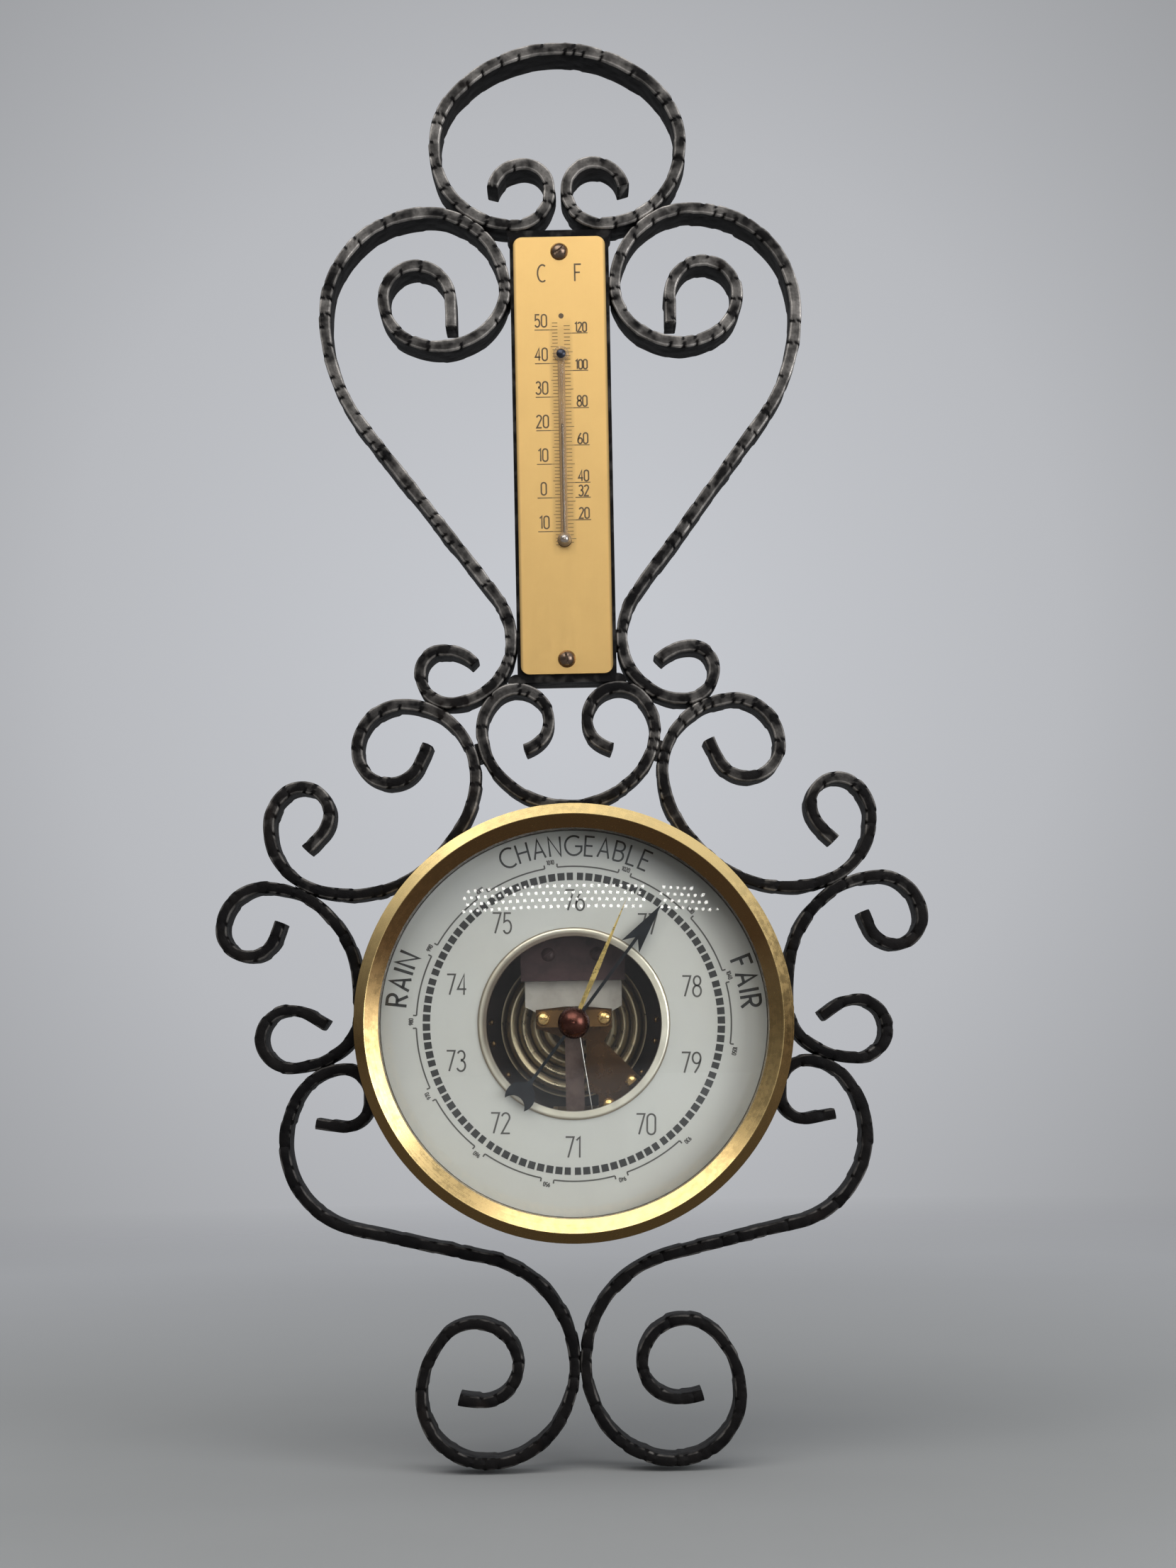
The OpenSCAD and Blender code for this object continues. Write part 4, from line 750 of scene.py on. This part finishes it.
def dress_dial_rim():
    """Silvered and dark at its outer edge, with painted shade in its bore and on its bevel at the upper left.
    """
    g = plain_metal("rim_silvered", (0.84, 0.8, 0.68), (0.76, 0.7, 0.55), 0.34, 0.85, 0.005, 0.000002)
    x, _, z = g.axes()
    upper_left = g.math("DIVIDE", g.math("SUBTRACT", z, x), g.radius())
    bevel = g.span(g.radius(), 0.0264, 0.0253)
    g.stain((0.2, 0.15, 0.1), g.span(g.radius(), 0.0262, 0.0268, 0.0, 0.8))
    # Painted shade in the bore
    g.stain((0.06, 0.035, 0.025), g.span(g.radius(), 0.0247, 0.0245, 0.0, 0.95))
    # Painted shade on the bevel, strongest at the upper left
    g.stain((0.1, 0.065, 0.045), g.times(bevel, g.span(upper_left, -0.3, 0.9, 0.0, 0.85)))
    paint(g.mat, "dial_rim")


def dress_scale_plate():
    """Satin brass, with a painted shadow of the tube along it and painted shade at its long edges."""
    g = brass("brass_plate", (0.8, 0.53, 0.205), (0.68, 0.42, 0.15), 0.38, "upright", 0.1, 0.0, 0.1)
    x, _, z = g.axes()
    side = g.math("ABSOLUTE", x)
    tube_shadow = g.times(g.span(z, 0.200, 0.196), g.span(z, 0.132, 0.136))
    # Painted shadow of the tube: a brown band beside it
    g.stain((0.38, 0.23, 0.1), g.times(tube_shadow, g.span(side, 0.0036, 0.0026, 0.0, 0.3)))
    # Painted shade at the plate's long edges
    g.stain((0.06, 0.03, 0.018), g.span(side, 0.0122, 0.0133, 0.0, 0.92))
    paint(g.mat, "scale_plate", bevel=0.3)


def dress_glass_tube():
    """Thin glass, clear in the middle and brown towards its sides."""
    g = Graph("glass_tube", (0.42, 0.3, 0.19), 0.06)
    edge = g.node("ShaderNodeLayerWeight", {"Blend": 0.45}).outputs["Facing"]
    haze = g.span(g.noise(0.006, 2.0), 0.3, 0.7, 0.0, 0.12)
    g.set("Alpha", g.math("ADD", g.span(edge, 0.1, 0.9, 0.12, 0.75), haze, clamp=True))
    paint(g.mat, "glass_tube")


def make_thread(material):
    """The mercury in the bore, as a column in many rings from its foot up."""
    low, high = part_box("mercury_thread")
    foot = Vector(((low[0] + high[0]) / 2, (low[1] + high[1]) / 2, low[2]))
    top = Vector((foot.x, foot.y, high[2]))
    half = (high[0] - low[0]) / 2
    turns = [k * math.tau / THREAD_SIDES for k in range(THREAD_SIDES)]
    bm = bmesh.new()
    rings = []
    for i in range(THREAD_RINGS + 1):
        middle = foot.lerp(top, i / THREAD_RINGS)
        rings.append([bm.verts.new(middle + half * Vector((math.cos(a), math.sin(a), 0.0))) for a in turns])
    column = add("mercury_column", closed_mesh("mercury_column", bm, rings), material, body=None)
    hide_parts("mercury_thread")
    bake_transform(column)


def dress_thermometer():
    dress_scale_plate()
    dress_glass_tube()
    paint(plain_metal("bronze_screws", (0.2, 0.14, 0.1), (0.08, 0.055, 0.045), 0.26).mat, "plate_screws")
    paint(plain_metal("mercury_silver", (0.5, 0.48, 0.46), (0.38, 0.37, 0.36), 0.12).mat, "mercury_bulb")
    make_thread(plain_metal("mercury_thread", (0.16, 0.14, 0.12), (0.1, 0.09, 0.08), 0.2).mat)


def dress_capsule():
    """Bright brass waves, with painted shade in their valleys."""
    g = brass("capsule_brass", (0.97, 0.84, 0.58), (0.6, 0.42, 0.22), 0.3, "turned", grime=0.4)
    along = g.times(g.math("SUBTRACT", g.radius(), CAPSULE_EDGE), -math.tau / WAVE)
    # Painted shade in the valleys of the waves
    g.stain((0.045, 0.025, 0.016), g.span(g.math("COSINE", along), -0.1, 0.8, 0.0, 0.94))
    paint(g.mat, "lower_diaphragm", "upper_diaphragm")


def dress_movement():
    drum = plain_metal("drum_brass", (0.27, 0.19, 0.11), (0.2, 0.135, 0.078), 0.42, grain=0.0015).mat
    paint(drum, "case_drum")
    paint(drum, "rocker_bracket", "rocker_arm", "rocker_crank", "hand_boss", bevel=0.15)
    paint(brass("brass_small", (0.85, 0.56, 0.22), (0.45, 0.25, 0.09), 0.2, "none").mat,
          "crystal_bushing", "arm_pillars", "arm_screws", "bridge_screws", "chain_drum", "set_stem")
    paint(brass("brass_rivets", (0.7, 0.45, 0.2), (0.3, 0.18, 0.08), 0.3, "none").mat, "base_rivets")
    paint(plain_metal("steel_satin", (0.52, 0.51, 0.48), (0.34, 0.32, 0.29), 0.36).mat, "capsule_foot",
          "capsule_stem", "link_rod", "rocker_shaft", "hand_arbor", "adjusting_screw", "chain")
    paint(plain_metal("steel_spring", (0.5, 0.47, 0.42), (0.36, 0.32, 0.28), 0.42, 0.7, 0.0014).mat,
          "main_spring", bevel=0.1)
    paint(plain_metal("strap_steel", (0.2, 0.14, 0.12), (0.1, 0.065, 0.055), 0.36).mat,
          "lever_strap", bevel=0.15)
    paint(plain_metal("steel_blued", (0.07, 0.075, 0.1), (0.03, 0.03, 0.035), 0.3).mat,
          "case_screws", "tube_pin", "hairspring")
    lacquer = plain_metal("lacquer_dark", (0.066, 0.035, 0.036), (0.02, 0.011, 0.01), 0.36, 0.4, 0.0013).mat
    paint(lacquer, "spring_bracket", bevel=0.25)
    paint(lacquer, "spring_screws")
    paint(plain_metal("base_browned", (0.034, 0.021, 0.017), (0.014, 0.009, 0.008), 0.4, 0.5, 0.0013).mat,
          "base_plate")
    paint(plain_metal("copper_browned", (0.13, 0.067, 0.028), (0.065, 0.033, 0.016), 0.24, 1.0, 0.003,
                      0.00002).mat, "movement_arm", bevel=0.2)
    paint(plain_metal("bridge_browned", (0.4, 0.22, 0.08), (0.18, 0.09, 0.035), 0.2, 1.0, 0.002, 0.00002).mat,
          "arbor_bridge", bevel=0.2)


def dress_dial():
    g = Graph("dial_enamel", (0.44, 0.435, 0.4), 0.42)
    cloud = g.noise(0.03, 4.0)
    speck = g.noise(0.0016, 2.0)
    g.set("Base Color", g.mix(g.span(cloud, 0.4, 0.75, 0.0, 0.5), (0.4, 0.4, 0.378), (0.365, 0.355, 0.32)))
    g.stain((0.28, 0.24, 0.18), g.span(speck, 0.74, 0.8, 0.0, 0.35))
    g.set("Roughness", g.span(cloud, 0.3, 0.7, 0.36, 0.5))
    g.bump(g.noise(0.0004, 2.0), 0.00001, 0.5)
    paint(g.mat, "dial_plate")


def dress_hands():
    black = plain_metal("hand_black", (0.004, 0.005, 0.007), (0.01, 0.013, 0.017), 0.4, 0.0)
    black.set("Specular IOR Level", 0.12)
    paint(black.mat, "pressure_hand", bevel=0.08)
    paint(brass("brass_hand", (0.86, 0.64, 0.22), (0.55, 0.38, 0.12), 0.25, "none").mat,
          "set_hand", bevel=0.1)
    paint(plain_metal("knob_copper", (0.1, 0.04, 0.03), (0.04, 0.018, 0.014), 0.26).mat,
          "set_knob", bevel=0.3)


def dress_crystal():
    paint(clear_glass("glass_dome", (0.97, 0.98, 0.97)).mat, "crystal")
    paint(plain_metal("gasket_black", (0.02, 0.018, 0.016), (0.035, 0.03, 0.028), 0.7, 0.0).mat,
          "crystal_gasket")


# Stage and light
# The floor lies 1.5 mm under the lowest scrolls
FLOOR_Z = CAD_BOX[0][2] - 1.5 * MM
FLOOR_R = 1.4
FLOOR_CORNERS = 96
# The lamps that show in the domed glass: rows of small bright squares, two left out of each row
LAMP_ROWS = 4
LAMPS_IN_ROW = 36
LAMP_GAP = (25, 26)
LAMP_PITCH = 0.05
LAMP_HALF = 0.009
LAMP_START = (-0.74, -2.4, 0.82)
# Two soft lamps, in front above and in front at the right: (place, width, height, watts, colour)
SOFT_LAMPS = {
    "key": ((-0.35, -1.3, 1.6), 2.2, 1.4, 24.0, (1.0, 0.975, 0.94)),
    "fill": ((1.05, -1.0, 0.3), 0.8, 0.8, 12.0, (0.95, 0.97, 1.0)),
}
# Where the soft lamps point
AIM = (0.0, 0.0, 0.05)
# The direction of the wall's bright patch behind the object
WALL_BRIGHT = (0.0, 0.985, 0.17)


def mesh_object(name, verts, faces, material):
    mesh = bpy.data.meshes.new(name)
    mesh.from_pydata(verts, [], faces)
    mesh.materials.append(material)
    made = bpy.data.objects.new(name, mesh)
    scene.collection.objects.link(made)
    return made


def make_stage():
    """A pale floor that fades into the background all round, painted darker towards its middle under the
    object as painted shade.
    """
    turns = [a * math.tau / FLOOR_CORNERS for a in range(FLOOR_CORNERS)]
    verts = [(0.0, 0.0, FLOOR_Z)] + [(FLOOR_R * math.cos(a), FLOOR_R * math.sin(a), FLOOR_Z) for a in turns]
    faces = [(0, a + 1, (a + 1) % FLOOR_CORNERS + 1) for a in range(FLOOR_CORNERS)]
    g = Graph("stage_paper", (0.3, 0.305, 0.3), 0.85)
    away = g.radius(upright=True)
    # Painted shade: darker near the middle, paler further out
    g.set("Base Color", g.mix(g.span(away, 0.15, 0.75), (0.27, 0.275, 0.272), (0.42, 0.425, 0.435)))
    g.stain((0.36, 0.36, 0.36), g.span(g.noise(0.1, 3.0), 0.3, 0.7, 0.0, 0.12))
    g.set("Alpha", g.span(away, 1.35, 0.55))
    mesh_object("stage", verts, faces, g.mat)


def area_light(name, place, width, height, watts, colour):
    data = bpy.data.lights.new(name, "AREA")
    data.shape = "RECTANGLE"
    data.size = width
    data.size_y = height
    data.energy = watts
    data.color = colour
    lamp = bpy.data.objects.new(name, data)
    lamp.location = place
    lamp.rotation_euler = (Vector(AIM) - Vector(place)).to_track_quat("-Z", "Y").to_euler()
    scene.collection.objects.link(lamp)


def lamp_rows():
    """Rows of small lamps far in front, which show as dotted arcs in the domed glass."""
    glow = bpy.data.materials.new("lamp_glow")
    glow.use_nodes = True
    shader = glow.node_tree.nodes["Principled BSDF"]
    shader.inputs["Base Color"].default_value = (0.0, 0.0, 0.0, 1.0)
    shader.inputs["Emission Color"].default_value = (1.0, 0.98, 0.95, 1.0)
    shader.inputs["Emission Strength"].default_value = 14.0
    verts, faces = [], []
    for row in range(LAMP_ROWS):
        for k in range(LAMPS_IN_ROW):
            if k in LAMP_GAP:
                continue
            x = LAMP_START[0] + LAMP_PITCH * (k + 0.5 * (row % 2))
            z = LAMP_START[2] + LAMP_PITCH * row
            first = len(verts)
            verts += [(x + LAMP_HALF * i, LAMP_START[1], z + LAMP_HALF * j)
                      for i, j in ((-1, -1), (1, -1), (1, 1), (-1, 1))]
            faces.append((first, first + 1, first + 2, first + 3))
    rows = mesh_object("lamp_rows", verts, faces, glow)
    rows.visible_camera = False
    rows.visible_diffuse = False


def colour_ramp(tree, value, stops):
    ramp = tree.nodes.new("ShaderNodeValToRGB")
    tree.links.new(value, ramp.inputs["Fac"])
    while len(ramp.color_ramp.elements) < len(stops):
        ramp.color_ramp.elements.new(0.5)
    for element, (place, colour) in zip(ramp.color_ramp.elements, stops):
        element.position = place
        element.color = (*colour, 1.0)
    return ramp.outputs["Color"]


def make_world():
    """A room that is dim in front and bright overhead, with a soft bright patch on the wall behind."""
    world = bpy.data.worlds.new("world")
    world.use_nodes = True
    tree = world.node_tree
    back = tree.nodes["Background"]
    back.inputs["Strength"].default_value = 1.0
    direction = tree.nodes.new("ShaderNodeTexCoord").outputs["Generated"]
    way = tree.nodes.new("ShaderNodeSeparateXYZ")
    tree.links.new(direction, way.inputs[0])
    aside = tree.nodes.new("ShaderNodeVectorMath")
    aside.operation = "DISTANCE"
    tree.links.new(direction, aside.inputs[0])
    aside.inputs[1].default_value = WALL_BRIGHT
    room = colour_ramp(tree, way.outputs["Z"], [(0.0, (0.2, 0.2, 0.203)), (0.36, (0.24, 0.24, 0.245)),
                                                (0.78, (0.8, 0.83, 0.88))])
    wall = colour_ramp(tree, aside.outputs["Value"], [(0.04, (0.56, 0.575, 0.61)), (0.2, (0.48, 0.49, 0.515)),
                                                      (0.4, (0.27, 0.275, 0.285))])
    behind = colour_ramp(tree, way.outputs["Y"], [(0.1, (0.0, 0.0, 0.0)), (0.6, (1.0, 1.0, 1.0))])
    blend = tree.nodes.new("ShaderNodeMix")
    blend.data_type = "RGBA"
    for socket, value in ((0, behind), (6, room), (7, wall)):
        tree.links.new(value, blend.inputs[socket])
    tree.links.new(blend.outputs[2], back.inputs["Color"])
    scene.world = world


make_camera()
make_bars(iron("iron_bar", True))
dress_iron()
dress_bezel()
dress_dial_rim()
dress_thermometer()
dress_capsule()
dress_movement()
dress_dial()
dress_hands()
dress_crystal()
dial_print(ink("ink_black", (0.007, 0.007, 0.007), (0.014, 0.014, 0.013)),
           ink("ink_grey", (0.035, 0.033, 0.03), (0.06, 0.056, 0.05)))
plate_print(ink("ink_brown", (0.09, 0.055, 0.025), (0.16, 0.1, 0.045)))
make_stage()
make_world()
for lamp_name, lamp in SOFT_LAMPS.items():
    area_light(lamp_name, *lamp)
lamp_rows()
